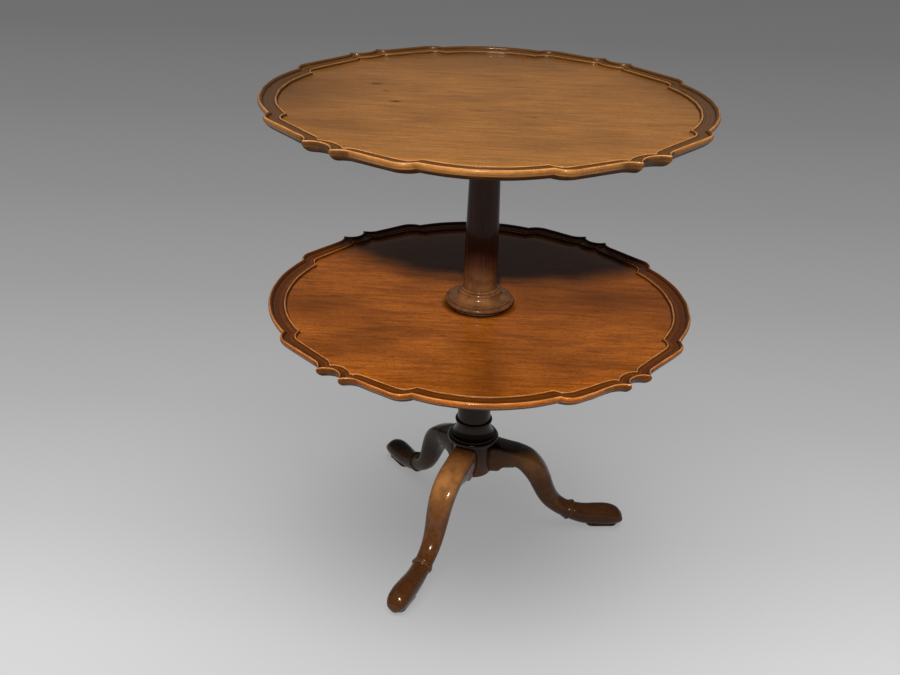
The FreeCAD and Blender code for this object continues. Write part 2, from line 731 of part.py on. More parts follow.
def tongue_corners(clearance):
    """Plan of the dovetail tongue, grown by a clearance and run on past the drum's face."""
    inner = "drum_radius - tongue_depth - " + clearance
    outer = "drum_radius + tongue_root"
    return [
        straight(inner, "-tongue_end / 2 - " + clearance),
        straight(outer, "-tongue_neck / 2 - " + clearance),
        straight(outer, "tongue_neck / 2 + " + clearance),
        straight(inner, "tongue_end / 2 + " + clearance),
    ]


def leg_section(station, rise=0.0):
    """A closed section: flat crowned top, bowed cheeks and a narrower underside."""
    top_x, top_z, under_x, under_z, width, flat_top, flat_under = station
    upward = Vector(top_x - under_x, 0, top_z - under_z).normalize()
    top = Vector(top_x, 0, top_z) + upward * rise
    under = Vector(under_x, 0, under_z) - upward * rise
    crown = upward * (CROWN_SHARE * width)
    widest = top + (under - top) * SIDE_WIDEST_SHARE
    half = Vector(0, width / 2 + rise, 0)
    corner, foot = half * flat_top, half * flat_under
    edges = [
        Part.Arc(top - crown - corner, top, top - crown + corner),
        Part.Arc(top - crown + corner, widest + half, under + crown + foot),
        Part.Arc(under + crown + foot, under, under + crown - foot),
        Part.Arc(under + crown - foot, widest - half, top - crown - corner),
    ]
    return Part.Wire([edge.toShape() for edge in edges])


def root_section(reach, top, under, width):
    """A nearly square section of the leg's root, flat underneath."""
    half_top, half_under = width * ROOT_TOP_SHARE / 2, width * ROOT_UNDER_SHARE / 2
    left, right = Vector(reach, -half_top, top), Vector(reach, half_top, top)
    crown = Vector(0, 0, CROWN_SHARE * width)
    cheek = under + (top - under) * (1 - SIDE_WIDEST_SHARE)
    foot_left, foot_right = Vector(reach, -half_under, under), Vector(reach, half_under, under)
    edges = [
        Part.Arc(left - crown, Vector(reach, 0, top), right - crown),
        Part.Arc(right - crown, Vector(reach, width / 2, cheek), foot_right),
        Part.LineSegment(foot_right, foot_left),
        Part.Arc(foot_left, Vector(reach, -width / 2, cheek), left - crown),
    ]
    return Part.Wire([edge.toShape() for edge in edges])


def leg_station(shares):
    """A station's shares as real sizes."""
    start = size("limb_start")
    span = size("leg_reach") - start
    top_x, top_z, under_x, under_z, width, flat_top, flat_under = shares
    return (
        start + span * top_x,
        size("leg_crown") * top_z,
        start + span * under_x,
        size("leg_crown") * under_z,
        size("leg_width") * width,
        flat_top,
        flat_under,
    )


def leg_blank():
    """The carved leg without its tongue: root, curved limb, ankle ring and foot with its pad.

    The root runs back to the stem's axis and is then scribed to the drum."""
    width, crown = size("leg_width"), size("leg_crown")
    lobe, rise = size("leg_lobe_reach"), size("lobe_rise_reach")
    limb_stations = [leg_station(shares) for shares in LIMB_STATION_SHARES]
    foot_stations = [leg_station(shares) for shares in FOOT_STATION_SHARES]
    root = Part.makeLoft([
        root_section(0, crown, size("leg_seat"), width),
        root_section(lobe, crown * ROOT_LOBE_CROWN_SHARE, size("leg_seat"), width),
        root_section(rise, crown * ROOT_END_CROWN_SHARE, size("lobe_top"), width),
        root_section(size("limb_start"), crown * ARM_END_CROWN_SHARE, size("lobe_top"), width),
        leg_section(limb_stations[0]),
    ], True, True)
    limb = Part.makeLoft(
        [leg_section(station) for station in limb_stations + foot_stations], True, False
    )
    near, far = limb_stations[-1], foot_stations[0]
    rings = []
    for share, rise_share in zip(COLLAR_STATION_SHARES, COLLAR_RISE_SHARES):
        between = [a + (b - a) * share for a, b in zip(near, far)]
        rings.append(leg_section(between, size("leg_collar_rise") * rise_share))
    collar = Part.makeLoft(rings, True, True)
    pad_top = Vector(0, 0, size("foot_pad_height") + size("cut_overrun"))
    toe, heel, pad = size("pad_toe"), size("pad_heel"), size("foot_pad_radius")
    outline = Part.Wire([
        Part.Arc(Vector(toe, -pad, 0), Vector(toe + pad, 0, 0), Vector(toe, pad, 0)).toShape(),
        Part.LineSegment(Vector(toe, pad, 0), Vector(heel, pad, 0)).toShape(),
        Part.Arc(Vector(heel, pad, 0), Vector(heel - pad, 0, 0), Vector(heel, -pad, 0)).toShape(),
        Part.LineSegment(Vector(heel, -pad, 0), Vector(toe, -pad, 0)).toShape(),
    ])
    pad_solid = Part.Face(outline).extrude(pad_top)
    drum = Part.makeCylinder(
        size("drum_radius") + size("fitting_clearance"), size("overall_height")
    )
    return root.fuse([limb, collar, pad_solid]).cut(drum).removeSplitter()


def leg(label, azimuth):
    """A leg with its dovetail tongue and two pilot holes for the plate's screws."""
    blank = document.addObject("Part::Feature", label + "_blank")
    blank.Shape = leg_blank()
    body = new_body(label)
    body.BaseFeature = blank
    document.recompute()
    sketch = new_sketch(body, label + "_tongue_outline", "XY_Plane", "leg_seat")
    draw_outline(sketch, tongue_corners("0"))
    tongue = body.newObject("PartDesign::Pad", label + "_tongue")
    tongue.Profile = sketch
    bind(tongue, Length="tongue_height")
    for name, reach in (("inner", "spider_screw_inner"), ("outer", "spider_screw_outer")):
        sketch = new_sketch(body, "%s_%s_circle" % (label, name), "XY_Plane", "leg_seat")
        draw_circle(sketch, reach, "screw_hole_radius")
        pilot = body.newObject("PartDesign::Pocket", "%s_%s_pilot" % (label, name))
        pilot.Profile = sketch
        pilot.Reversed = True
        bind(pilot, Length="leg_lobe_step + spider_screw_length")
    body.Placement = Placement(Vector(0, 0, 0), Rotation(UP, azimuth))
    return body


# Iron plate under the drum


def spider_plate():
    """A three-armed plate, its arms stepped up to follow the legs' undersides."""
    body = turned("spider_plate", [
        straight("screw_hole_radius", "spider_under"),
        straight("spider_hub_radius", "spider_under"),
        straight("spider_hub_radius", "leg_seat"),
        straight("screw_hole_radius", "leg_seat"),
    ])
    sketch = new_sketch(body, "arm_outline", "XZ_Plane")
    draw_outline(sketch, [
        straight("spider_hub_radius / 2", "spider_under"),
        straight("leg_lobe_reach + spider_thickness / 2", "spider_under"),
        straight("lobe_rise_reach + spider_thickness / 2", "outer_screw_under"),
        straight("spider_arm_reach", "outer_screw_under"),
        straight("spider_arm_reach", "lobe_top"),
        straight("lobe_rise_reach", "lobe_top"),
        straight("leg_lobe_reach", "leg_seat"),
        straight("spider_hub_radius / 2", "leg_seat"),
    ])
    arm = body.newObject("PartDesign::Pad", "arm")
    arm.Profile = sketch
    arm.Midplane = True
    bind(arm, Length="spider_arm_width")
    repeat_round(body, arm, "arms", 3)
    for name, reach, under, top in spider_screws():
        corners = hole_corners(reach, under, top)
        hole = upright_turning(body, "PartDesign::Groove", name + "_hole", reach, corners)
        repeat_round(body, hole, name + "_holes", 3)
    sketch = new_sketch(body, "centre_sink_outline", "XZ_Plane")
    draw_outline(sketch, [
        straight("0", "spider_under - cut_overrun"),
        straight("screw_sink_radius", "spider_under - cut_overrun"),
        straight("screw_sink_radius", "spider_under"),
        straight("screw_hole_radius", "spider_under + screw_head_depth"),
        straight("0", "spider_under + screw_head_depth"),
    ])
    sink = body.newObject("PartDesign::Groove", "centre_sink")
    sink.Profile = sketch
    sink.ReferenceAxis = (sketch, ["V_Axis"])
    sink.Angle = 360
    body.Placement = Placement(Vector(0, 0, 0), Rotation(UP, size("leg_azimuth")))
    return body


def spider_screws():
    """The two screws of an arm: name, distance from the axis, underside and top of the plate."""
    return [
        ("inner_screw", "spider_screw_inner", "spider_under", "leg_seat"),
        ("outer_screw", "spider_screw_outer", "outer_screw_under", "lobe_top"),
    ]


def leg_screws():
    """Two screws in each arm of the plate, up into the legs."""
    body = new_body("spider_leg_screws")
    for name, reach, under, _ in spider_screws():
        corners = screw_corners(reach, under, under + " + spider_screw_length")
        screw = upright_turning(body, "PartDesign::Revolution", name, reach, corners)
        repeat_round(body, screw, name + "s", 3)
    body.Placement = Placement(Vector(0, 0, 0), Rotation(UP, size("leg_azimuth")))
    return body


lower = ("lower_block_under", "lower_board_under")
upper = ("upper_block_under", "upper_board_under")
pieces = [
    pillar(),
    leg("leg_front", size("leg_azimuth") - 120),
    leg("leg_right", size("leg_azimuth")),
    leg("leg_back", size("leg_azimuth") + 120),
    spider_plate(),
    leg_screws(),
    turned("spider_pillar_screw", screw_corners("0", "spider_under",
                                                "spider_under + pillar_screw_length")),
    washer("lower_washer", "journal_bore", "pillar_collar_edge", "pillar_shoulder", lower[0]),
    block("lower_block", "lower_block_radius", "journal_bore", "lower_screw_circle", *lower),
    block_screws("lower_block_screws", "lower_screw_circle", *lower),
    tier("lower_tier", "lower_tier_radius", LOWER_ANGLES, "lower_tier_height", "journal_bore",
         "lower_screw_circle"),
    washer("seat_washer", "journal_bore", "seat_washer_radius", "seat_floor", "column_foot"),
    column(),
    washer("upper_washer", "pivot_bore", "column_collar_edge", "column_shoulder", upper[0]),
    block("upper_block", "upper_block_radius", "pivot_bore", "upper_screw_circle", *upper),
    block_screws("upper_block_screws", "upper_screw_circle", *upper),
    keeper_screw(),
    tier("upper_tier", "upper_tier_radius", UPPER_ANGLES, "overall_height", "",
         "upper_screw_circle"),
]
keeper_hole(document.getObject("upper_block"))
document.recompute()

for item in document.Objects:
    if {"Invalid", "Error"} & set(item.State):
        raise RuntimeError("%s was not made: %s" % (item.Label, item.State))
for piece in pieces:
    if piece.Shape.isNull() or not piece.Shape.isValid():
        raise RuntimeError("%s has no valid solid" % piece.Label)

os.makedirs("parts", exist_ok=True)
for piece in pieces:
    piece.Shape.exportStep("parts/%s.step" % piece.Label)
    box = piece.Shape.BoundBox
    print("%-22s %d solid(s) %9.0f mm3  z %.1f to %.1f" % (
        piece.Label, len(piece.Shape.Solids), piece.Shape.Volume, box.ZMin, box.ZMax))
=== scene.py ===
import math

import bmesh
import bpy
import numpy as np
from bpy.props import FloatProperty, FloatVectorProperty, IntProperty, PointerProperty
from mathutils import Matrix, Vector


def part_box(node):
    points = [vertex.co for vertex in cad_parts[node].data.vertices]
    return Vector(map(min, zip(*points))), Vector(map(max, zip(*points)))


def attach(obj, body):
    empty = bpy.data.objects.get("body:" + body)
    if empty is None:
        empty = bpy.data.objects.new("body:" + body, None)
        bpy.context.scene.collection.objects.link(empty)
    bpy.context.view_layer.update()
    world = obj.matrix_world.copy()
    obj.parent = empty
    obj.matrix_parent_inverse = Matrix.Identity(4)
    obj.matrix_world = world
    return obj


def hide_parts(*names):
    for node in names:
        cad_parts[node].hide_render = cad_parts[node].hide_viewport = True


bl_info = {
    "name": "Two-tier dumbwaiter table",
    "version": (1, 0, 0),
    "blender": (4, 5, 0),
    "location": "3D View > Sidebar > Table",
    "description": "Carves and finishes the turning pie-crust tiers, stem and cabriole legs",
    "category": "Object",
}

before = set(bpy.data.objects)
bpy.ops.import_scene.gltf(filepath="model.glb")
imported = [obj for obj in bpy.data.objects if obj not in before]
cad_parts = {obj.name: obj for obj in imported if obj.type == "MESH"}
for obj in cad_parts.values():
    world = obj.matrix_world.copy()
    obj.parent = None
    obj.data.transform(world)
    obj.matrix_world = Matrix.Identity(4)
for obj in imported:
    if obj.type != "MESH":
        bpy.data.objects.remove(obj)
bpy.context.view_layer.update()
MILLIMETRE = 0.001
# Clearance round a spigot that a tier turns on
RUNNING_GAP = 0.3 * MILLIMETRE
# How near a mesh's point has to be to share in its neighbour's wear and grime
NEIGHBOUR_REACH = 2 * MILLIMETRE
UPRIGHT_GRAIN = (0, math.pi / 2, 0)
# Pits in leather and metal, in changes a metre, and what rust leaves of a metal's colour
PITS, RUST_SHARES = (900, 900, 900), (0.55, 0.42, 0.34)


def tone(red, green, blue):
    """A colour written as it looks on screen, as the linear values that shaders take."""
    shares = [channel / 255 for channel in (red, green, blue)]
    return tuple(s / 12.92 if s <= 0.04045 else ((s + 0.055) / 1.055) ** 2.4 for s in shares)


def lowest(node):
    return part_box(node)[0].z


def highest(node):
    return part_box(node)[1].z


def reach_of(node):
    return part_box(node)[1].x


def number_field(name, value, description, **kind):
    """A number for the panel."""
    return FloatProperty(name=name, description=description, default=value, **kind)


def length_field(name, metres, description):
    return number_field(name, metres, description, unit="LENGTH")


def mm_field(name, size, description):
    return length_field(name, size * MILLIMETRE, description)


def angle_field(name, radians, description):
    return number_field(name, radians, description, subtype="ANGLE")


def colour_field(name, red, green, blue, description):
    """A colour for the panel, given as it looks on screen."""
    return FloatVectorProperty(name=name, description=description,
                               default=tone(red, green, blue), size=3, subtype="COLOR")


# Carved shapes, as shares of the sizes that the panel lists

# Rim section from the flat underside over the lip and the moulding to the field:
# inset as a share of rim_width, drop below the lip as a share of board depth or field sink
UNDER_EDGE_SHARES = [(0.66, 1.0), (0.39, 0.855), (0.155, 0.59), (0.03, 0.355), (0.0, 0.21)]
LIP_SHARES = [(0.0, 0.567), (0.023, 0.19), (0.085, 0.0), (0.17, 0.03), (0.232, 0.25)]
BAND_SHARES = [(0.262, 0.50), (0.35, 0.70), (0.54, 0.80), (0.74, 0.74), (0.835, 0.66)]
BEAD_SHARES = [(0.85, 0.60), (0.885, 0.475), (0.925, 0.46), (0.965, 0.60), (0.985, 0.83)]
GROOVE_SHARES = [(0.995, 1.02), (1.02, 1.04), (1.06, 1.0)]

# Angles of the pie-crust outlines, in degrees. A quarter runs from the middle of a front or
# back arc round to the middle of a side arc.
UPPER_ANGLES = {"front": 14.9, "side": 22.7, "cusp": 39.1, "half_cusp": 4.3, "turned": 0.0}
LOWER_ANGLES = {"front": 18.1, "side": 24.5, "cusp": 40.2, "half_cusp": 3.6, "turned": 2.85}
EAR_LEAVES, INNER_EAR_LEAVES = 47.0, 60.0
TIP_ARRIVES, INNER_TIP_ARRIVES = 57.0, 46.0

# Leg stations from the drum to the toe. Reach shares run from the drum's face to the toe and
# height shares from the floor to the crown; width is a share of the root's width.
# top reach, top height, under reach, under height, width, flat on top, flat under, roundness
LEG_STATIONS = [
    (0.000, 1.000, 0.000, 0.694, 1.00, 0.86, 0.80, 0.5),
    (0.050, 0.990, 0.046, 0.694, 1.00, 0.86, 0.80, 0.5),
    (0.078, 0.976, 0.072, 0.726, 1.00, 0.86, 0.80, 0.5),
    (0.150, 0.945, 0.130, 0.735, 1.00, 0.85, 0.78, 0.8),
    (0.215, 0.920, 0.182, 0.715, 0.99, 0.83, 0.68, 1.0),
    (0.312, 0.853, 0.235, 0.634, 0.97, 0.80, 0.62, 1.4),
    (0.389, 0.738, 0.278, 0.543, 0.94, 0.72, 0.56, 2.0),
    (0.436, 0.604, 0.314, 0.446, 0.88, 0.62, 0.52, 3.0),
    (0.469, 0.472, 0.355, 0.340, 0.81, 0.54, 0.48, 4.0),
    (0.510, 0.361, 0.410, 0.240, 0.75, 0.48, 0.46, 5.0),
    (0.570, 0.288, 0.494, 0.147, 0.71, 0.42, 0.46, 6.0),
    (0.642, 0.250, 0.597, 0.072, 0.70, 0.38, 0.48, 8.0),
    (0.716, 0.234, 0.695, 0.024, 0.74, 0.40, 0.56, 9.0),
    (0.800, 0.233, 0.795, 0.013, 0.81, 0.44, 0.66, 9.0),
    (0.880, 0.226, 0.885, 0.012, 0.84, 0.45, 0.68, 9.0),
    (0.948, 0.192, 0.950, 0.014, 0.77, 0.42, 0.60, 9.0),
    (0.988, 0.132, 0.986, 0.024, 0.56, 0.28, 0.40, 9.0),
    (1.000, 0.084, 0.998, 0.044, 0.26, 0.12, 0.16, 9.0),
]
ANKLE_STATION = 10
# Ring round the ankle: place between the ankle's stations, half width there, rise as a share
ANKLE_BEADS = [(0.52, 0.10, 0.45), (0.74, 0.15, 1.0), (0.60, 0.035, -0.28), (0.92, 0.05, -0.28)]
CROWN_SHARE, SIDE_WIDEST_SHARE = 0.05, 0.40
# Points across the top, down a cheek and across the underside of a section
TOP_POINTS, CHEEK_POINTS, UNDER_POINTS = 16, 14, 12
LEG_STEPS, PLAIN_STEP = 24, 4
ROOT_OVERLAP = 1 * MILLIMETRE
# Middle of the painted highlight, with some wear, on each knee's top
KNEE = (94 * MILLIMETRE, 0, 138 * MILLIMETRE)
# The pad's edge from the floor up: inset in millimetres and share of the pad's height
PAD_EDGE = ((1.2, 0.0), (0.3, 0.16), (0.0, 0.44), (0.4, 0.8), (1.2, 1.0))
PAD_POINTS = 20
# How dark the sole and the foot are, and how soon behind the ankle
SOLE_HEIGHT, SOLE_SHADE, FOOT_SHADE = 4.5 * MILLIMETRE, 0.55, 0.28
FOOT_FADE, FOOT_WEAR_LOST = 0.25, 0.5


class TierSizes(bpy.types.PropertyGroup):
    """Sizes of the two pie-crust tiers."""
    upper_radius: length_field("Upper radius", reach_of("upper_tier"), "To a plain arc's middle")
    lower_radius: length_field("Lower radius", reach_of("lower_tier"), "To a plain arc's middle")
    rim_width: mm_field("Rim width", 25.8, "Carved moulding, from the edge to the field")
    field_sink: mm_field("Field sink", 6.3, "Lip down to the dished field")
    notch_drop: mm_field("Notch drop", 7, "A plain arc's end, inside its middle")
    tip_rise: mm_field("Tip rise", 6, "Cusp tip, outside a plain arc's middle")
    ear_radius: mm_field("Ear radius", 27, "Round of the ear beside a notch")
    hollow_radius: mm_field("Hollow radius", 26, "Hollow before a cusp tip")
    scoop_depth: mm_field("Scoop depth", 13.5, "Scoop between two cusp tips")
    inner_ear_radius: mm_field("Inner ear radius", 22, "The same ear beside the field")
    inner_hollow_radius: mm_field("Inner hollow radius", 20, "The same hollow there")
    inner_scoop_depth: mm_field("Inner scoop depth", 6, "The same scoop there")
    tool_wander: mm_field("Tool wander", 0.35, "How far the carver's line strays")


class StemSizes(bpy.types.PropertyGroup):
    """Radii of the turned column and pillar, from the top down, and how their corners wear."""
    pivot_radius: mm_field("Pivot", 12, "The column's top pivot")
    column_top_radius: mm_field("Column collar", 29, "Collar under the upper block")
    column_flare_radius: mm_field("Column flare", 26.5, "Under that collar")
    column_neck_radius: mm_field("Column neck", 20, "Shaft under its top collar")
    column_root_radius: mm_field("Column root", 24.4, "Shaft at its foot")
    astragal_radius: mm_field("Astragal", 27.2, "Small ring under the shaft")
    column_bead_radius: mm_field("Column bead", 31, "Ring over the cove")
    column_cove_radius: mm_field("Column cove", 30.5, "Top of the cove")
    column_step_radius: mm_field("Column step", 44.5, "Flat step over the base ring")
    column_foot_radius: length_field("Column foot", reach_of("column"), "Base ring on the tier")
    journal_radius: mm_field("Journal", 15, "Spigot where the lower tier turns")
    pillar_top_radius: mm_field("Pillar collar", 33, "Collar under the lower block")
    pillar_flare_radius: mm_field("Pillar flare", 30.5, "Under that collar")
    pillar_neck_radius: mm_field("Pillar neck", 22.5, "Shaft just under that collar")
    pillar_waist_radius: mm_field("Pillar waist", 25.2, "Shaft over the skirt's bead")
    pillar_bead_radius: mm_field("Pillar bead", 28.5, "Ring over the skirt")
    skirt_top_radius: mm_field("Skirt top", 26, "Top of the hollow skirt")
    skirt_radius: mm_field("Skirt", 36, "Foot of the hollow skirt")
    torus_radius: mm_field("Ring", 39.5, "Large ring over the legs")
    torus_seat_radius: mm_field("Ring seat", 35, "Flat under the large ring")
    drum_radius: mm_field("Drum", 30, "Drum that takes the legs")
    edge_softness: mm_field("Edge softness", 0.5, "Rounding that handling gave the corners")
    turned_sides: IntProperty(
        name="Turned sides", description="Facets round a turned piece", default=112)


class LegSizes(bpy.types.PropertyGroup):
    """Sizes of the three cabriole legs."""
    azimuth: angle_field("Azimuth", math.radians(5.5), "Bearing of the right leg")
    reach: mm_field("Reach", 249.6, "Axis to the toe")
    crown: mm_field("Crown", 160, "Floor to the leg's top at the drum")
    width: mm_field("Width", 40, "Across the root")
    ankle_rise: mm_field("Ankle ring", 2.6, "How far the ring stands proud of the ankle")
    pad_height: mm_field("Pad height", 3, "Pad under the foot")
    pad_radius: mm_field("Pad radius", 10.4, "Rounded toe of the pad")
    pad_length: mm_field("Pad length", 30, "Between the pad's two round ends")
    pad_setback: mm_field("Pad setback", 8.5, "Toe to the pad's edge")


class Finishes(bpy.types.PropertyGroup):
    """Colours of the woods, metals and leather."""
    upper_light: colour_field("Upper tier, light", 177, 119, 59, "Its light fibres")
    upper_dark: colour_field("Upper tier, dark", 139, 91, 44, "Its dark fibres")
    lower_light: colour_field("Lower tier, light", 186, 106, 36, "Its light fibres")
    lower_dark: colour_field("Lower tier, dark", 134, 68, 18, "Its dark fibres")
    # Painted light and shade: the front leg's paler colours stand for the light on it, the right
    # and back legs' darker ones for their shade
    shaded_legs_light: colour_field("Legs, light", 70, 41, 20, "The right and back legs' light fibres")
    shaded_legs_dark: colour_field("Legs, dark", 50, 29, 14, "The right and back legs' dark fibres")
    lit_front_leg_light: colour_field("Front leg, light", 98, 56, 25, "Its paler board's light fibres")
    lit_front_leg_dark: colour_field("Front leg, dark", 68, 39, 18, "Its paler board's dark fibres")
    stem_light: colour_field("Stem, light", 80, 42, 30, "Light fibres of the turned stem")
    stem_dark: colour_field("Stem, dark", 46, 23, 18, "Dark fibres of the turned stem")
    # The pillar's darker colours are painted shade under the lower tier
    stem_shade: colour_field("Pillar, dark", 32, 16, 13, "Dark fibres under the lower tier")
    # The worn colour stands for rubbed wood, and is also laid on as painted highlight on the rims'
    # lip and bead, the knees and the column's base ring
    wear_and_highlight: colour_field("Worn edges", 212, 148, 86, "Wood that rubbing has lightened")
    # The old wax colour darkens stains and hollows, and is also laid on as painted shade in the
    # rims' dark lines, scoops and under their edges
    wax_and_shade: colour_field("Old wax", 38, 20, 10, "Dark wax left in the hollows")
    bare: colour_field("Unpolished", 96, 66, 44, "Undersides that were never polished")
    leather: colour_field("Leather", 96, 66, 42, "Washers")
    iron: colour_field("Iron", 62, 58, 55, "Forged plate")
    steel: colour_field("Steel", 118, 112, 104, "Old screws")
    brass: colour_field("Brass", 176, 138, 74, "Keeper screw")


class StageSizes(bpy.types.PropertyGroup):
    """Floor, lamps and camera."""
    lens: number_field("Lens", 44.04, "Focal length on a 36 mm wide sensor")
    camera_back: length_field("Camera back", 1.4491, "Camera in front of the axis")
    camera_height: length_field("Camera height", 1.0845, "Camera above the floor")
    camera_pitch: angle_field("Pitch", 0.475712, "Downward tilt")
    camera_yaw: angle_field("Yaw", -0.028115, "Turn to the right of straight ahead")
    camera_roll: angle_field("Roll", 0.033141, "Roll about the view")
    floor_near_grey: number_field("Floor, near", 218.0, "Its grey at the picture's foot")
    floor_far_grey: number_field("Floor, far", 105.0, "Its grey at the picture's head")
    shadow_share: number_field("Shadow", 0.43, "How much of the floor's light can be shaded")
    key_power: number_field("Key", 188.0, "Front lamp's power")
    top_power: number_field("Top", 8.0, "Overhead soft box's power")
    ambient: number_field("Ambient", 0.04, "Light from all round")


# Mesh making


def arc_through(first, middle, last, count):
    """Points on the circle through three points, crowded towards both ends, without the last."""
    a, b, c = (np.array(point, float) for point in (first, middle, last))
    ab, ac = b - a, c - a
    cross = ab[0] * ac[1] - ab[1] * ac[0]
    offset = np.array([
        ac[1] * ab.dot(ab) - ab[1] * ac.dot(ac),
        ab[0] * ac.dot(ac) - ac[0] * ab.dot(ab),
    ]) / (2 * cross)
    centre = a + offset
    start = math.atan2(*(a - centre)[::-1])
    turn = math.copysign(1, cross)
    sweep = (math.atan2(*(c - centre)[::-1]) - start) * turn % math.tau * turn
    shares = (1 - np.cos(np.linspace(0, math.pi, count, endpoint=False))) / 2
    angles = start + sweep * shares
    return centre + np.hypot(*offset) * np.stack([np.cos(angles), np.sin(angles)], 1)


def line_between(first, last, count):
    """Evenly spaced points from one point to another, without the last."""
    shares = np.linspace(0, 1, count, endpoint=False)[:, None]
    return np.array(first) + (np.array(last) - np.array(first)) * shares


def smooth_run(points, steps):
    """A smooth curve through a run of points, both ends kept."""
    p = np.array(points, float)
    p = np.vstack([2 * p[0] - p[1], p, 2 * p[-1] - p[-2]])
    run = []
    for number in range(1, len(p) - 2):
        before, start, end, after = p[number - 1:number + 3]
        for t in np.arange(steps) / steps:
            run.append(0.5 * (
                2 * start + (end - before) * t
                + (2 * before - 5 * start + 4 * end - after) * t ** 2
                + (3 * start - before - 3 * end + after) * t ** 3))
    run.append(p[-2])
    return np.array(run)


def skin(name, rings, first_pole=None, last_pole=None, closed=False):
    """A mesh over rings of equal count, with a pole at either end or joined into a loop."""
    rings = np.array(rings, float)
    levels, count = rings.shape[:2]
    vertices = list(rings.reshape(-1, 3))
    faces = []
    following = np.roll(np.arange(count), -1)
    for level in range(levels if closed else levels - 1):
        here, there = level * count, (level + 1) % levels * count
        faces += [
            (here + a, here + b, there + b, there + a) for a, b in enumerate(following)]
    for pole, level in ((first_pole, 0), (last_pole, levels - 1)):
        if pole is not None:
            vertices.append(pole)
            start = level * count
            faces += [(len(vertices) - 1, start + a, start + b)
                      for a, b in enumerate(following)]
    mesh = bpy.data.meshes.new(name)
    mesh.from_pydata([tuple(v) for v in vertices], [], [tuple(map(int, f)) for f in faces])
    tidy = bmesh.new()
    tidy.from_mesh(mesh)
    bmesh.ops.recalc_face_normals(tidy, faces=tidy.faces)
    tidy.to_mesh(mesh)
    tidy.free()
    return mesh


def read(items, attribute, width=1, kind=float):
    """A value, or a row of several, from each of a mesh's parts."""
    values = np.zeros(len(items) * width, kind)
    items.foreach_get(attribute, values)
    return values.reshape(-1, width) if width > 1 else values


def bends(mesh, pairs, spots):
    """How sharply the surface bends at each point, in turns per metre, outward bends above 0."""
    loop_edge = read(mesh.loops, "edge_index", 1, np.int64)
    totals = read(mesh.polygons, "loop_total", 1, np.int64)
    loop_face = np.repeat(np.arange(len(totals)), totals)
    order = np.argsort(loop_edge, kind="stable")
    first, last = np.full(len(pairs), -1), np.full(len(pairs), -1)
    last[loop_edge[order]] = loop_face[order]
    first[loop_edge[order][::-1]] = loop_face[order][::-1]
    normals, centres = (read(mesh.polygons, name, 3) for name in ("normal", "center"))
    areas = read(mesh.polygons, "area")
    bend = np.arccos(np.clip((normals[first] * normals[last]).sum(1), -1, 1))
    outward = ((centres[last] - centres[first]) * normals[first]).sum(1) < 0
    lengths = np.linalg.norm(spots[pairs[:, 0]] - spots[pairs[:, 1]], axis=1)
    bend = np.where(outward, bend, -bend) * lengths
    total, room = np.zeros(len(spots)), np.full(len(spots), 1e-12)
    for side in (0, 1):
        np.add.at(total, pairs[:, side], bend)
        np.add.at(room, pairs[:, side], (areas[first] + areas[last]) / 4)
    return total / room / 2, lengths


def weather(mesh, spread, wear_at, grime_at):
    """Mark worn outward edges and grimed inward corners from how sharply the surface bends.

    spread is how many times the marks are averaged; wear_at and grime_at are the bends, in
    turns of the surface per metre, where each mark is full."""
    pairs = read(mesh.edges, "vertices", 2, np.int64)
    bend, lengths = bends(mesh, pairs, read(mesh.vertices, "co", 3))
    ends = np.vstack([pairs, pairs[:, ::-1]])
    closeness = np.tile(np.exp(-(lengths / NEIGHBOUR_REACH) ** 2), 2)
    for name, mark in (("wear_and_highlight", bend / wear_at), ("grime_and_shade", -bend / grime_at)):
        mark = np.clip(mark, 0, 1)
        for _ in range(spread):
            summed, weights = mark.copy(), np.ones(len(mark))
            np.add.at(summed, ends[:, 0], mark[ends[:, 1]] * closeness)
            np.add.at(weights, ends[:, 0], closeness)
            mark = summed / weights
        mark_points(mesh, name, mark)


def mark_points(mesh, name, values):
    """Give a mesh's points a named mark."""
    attribute = mesh.attributes.get(name) or mesh.attributes.new(name, "FLOAT", "POINT")
    attribute.data.foreach_set("value", np.asarray(values, np.float32))


def rub_and_highlight(mesh, place, reach, share):
    """Lighten a mesh's points round a place with the worn mark: painted highlight, with some wear.
    """
    far = np.linalg.norm(read(mesh.vertices, "co", 3) - np.array(place), axis=1)
    wear_and_highlight = read(mesh.attributes["wear_and_highlight"].data, "value")
    mark_points(mesh, "wear_and_highlight", np.maximum(wear_and_highlight, share * np.exp(-(far / reach) ** 2)))


def mark_foot(mesh, ankle, toe):
    """Darken the foot from the ankle to the toe and its sole most, and take off its wear."""
    spots, wear_and_highlight = read(mesh.vertices, "co", 3), read(mesh.attributes["wear_and_highlight"].data, "value")
    low = spots[:, 2] < SOLE_HEIGHT
    along = np.clip((spots[:, 0] - ankle) / (toe - ankle) / FOOT_FADE, 0, 1)
    mark_points(mesh, "shaded", np.where(low, SOLE_SHADE, FOOT_SHADE * along))
    mark_points(mesh, "wear_and_highlight", wear_and_highlight * ~low * (1 - FOOT_WEAR_LOST * along))


def mark_bare(mesh, height, down):
    """Mark the points under a height that face down, which were never polished."""
    facing = read(mesh.vertex_normals, "vector", 3)[:, 2]
    heights = read(mesh.vertices, "co", 3)[:, 2]
    mark_points(mesh, "bare", (facing < -down) & (heights < height))


def link(item):
    bpy.context.scene.collection.objects.link(item)
    return item


def piece(name, mesh, body, finish, nodes):
    """Put a finished mesh in the scene, on its body, in place of its CAD nodes."""
    mesh.shade_smooth()
    item = link(bpy.data.objects.new(name, mesh))
    mesh.materials.append(finish)
    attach(item, body)
    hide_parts(*nodes)
    return item


# Materials


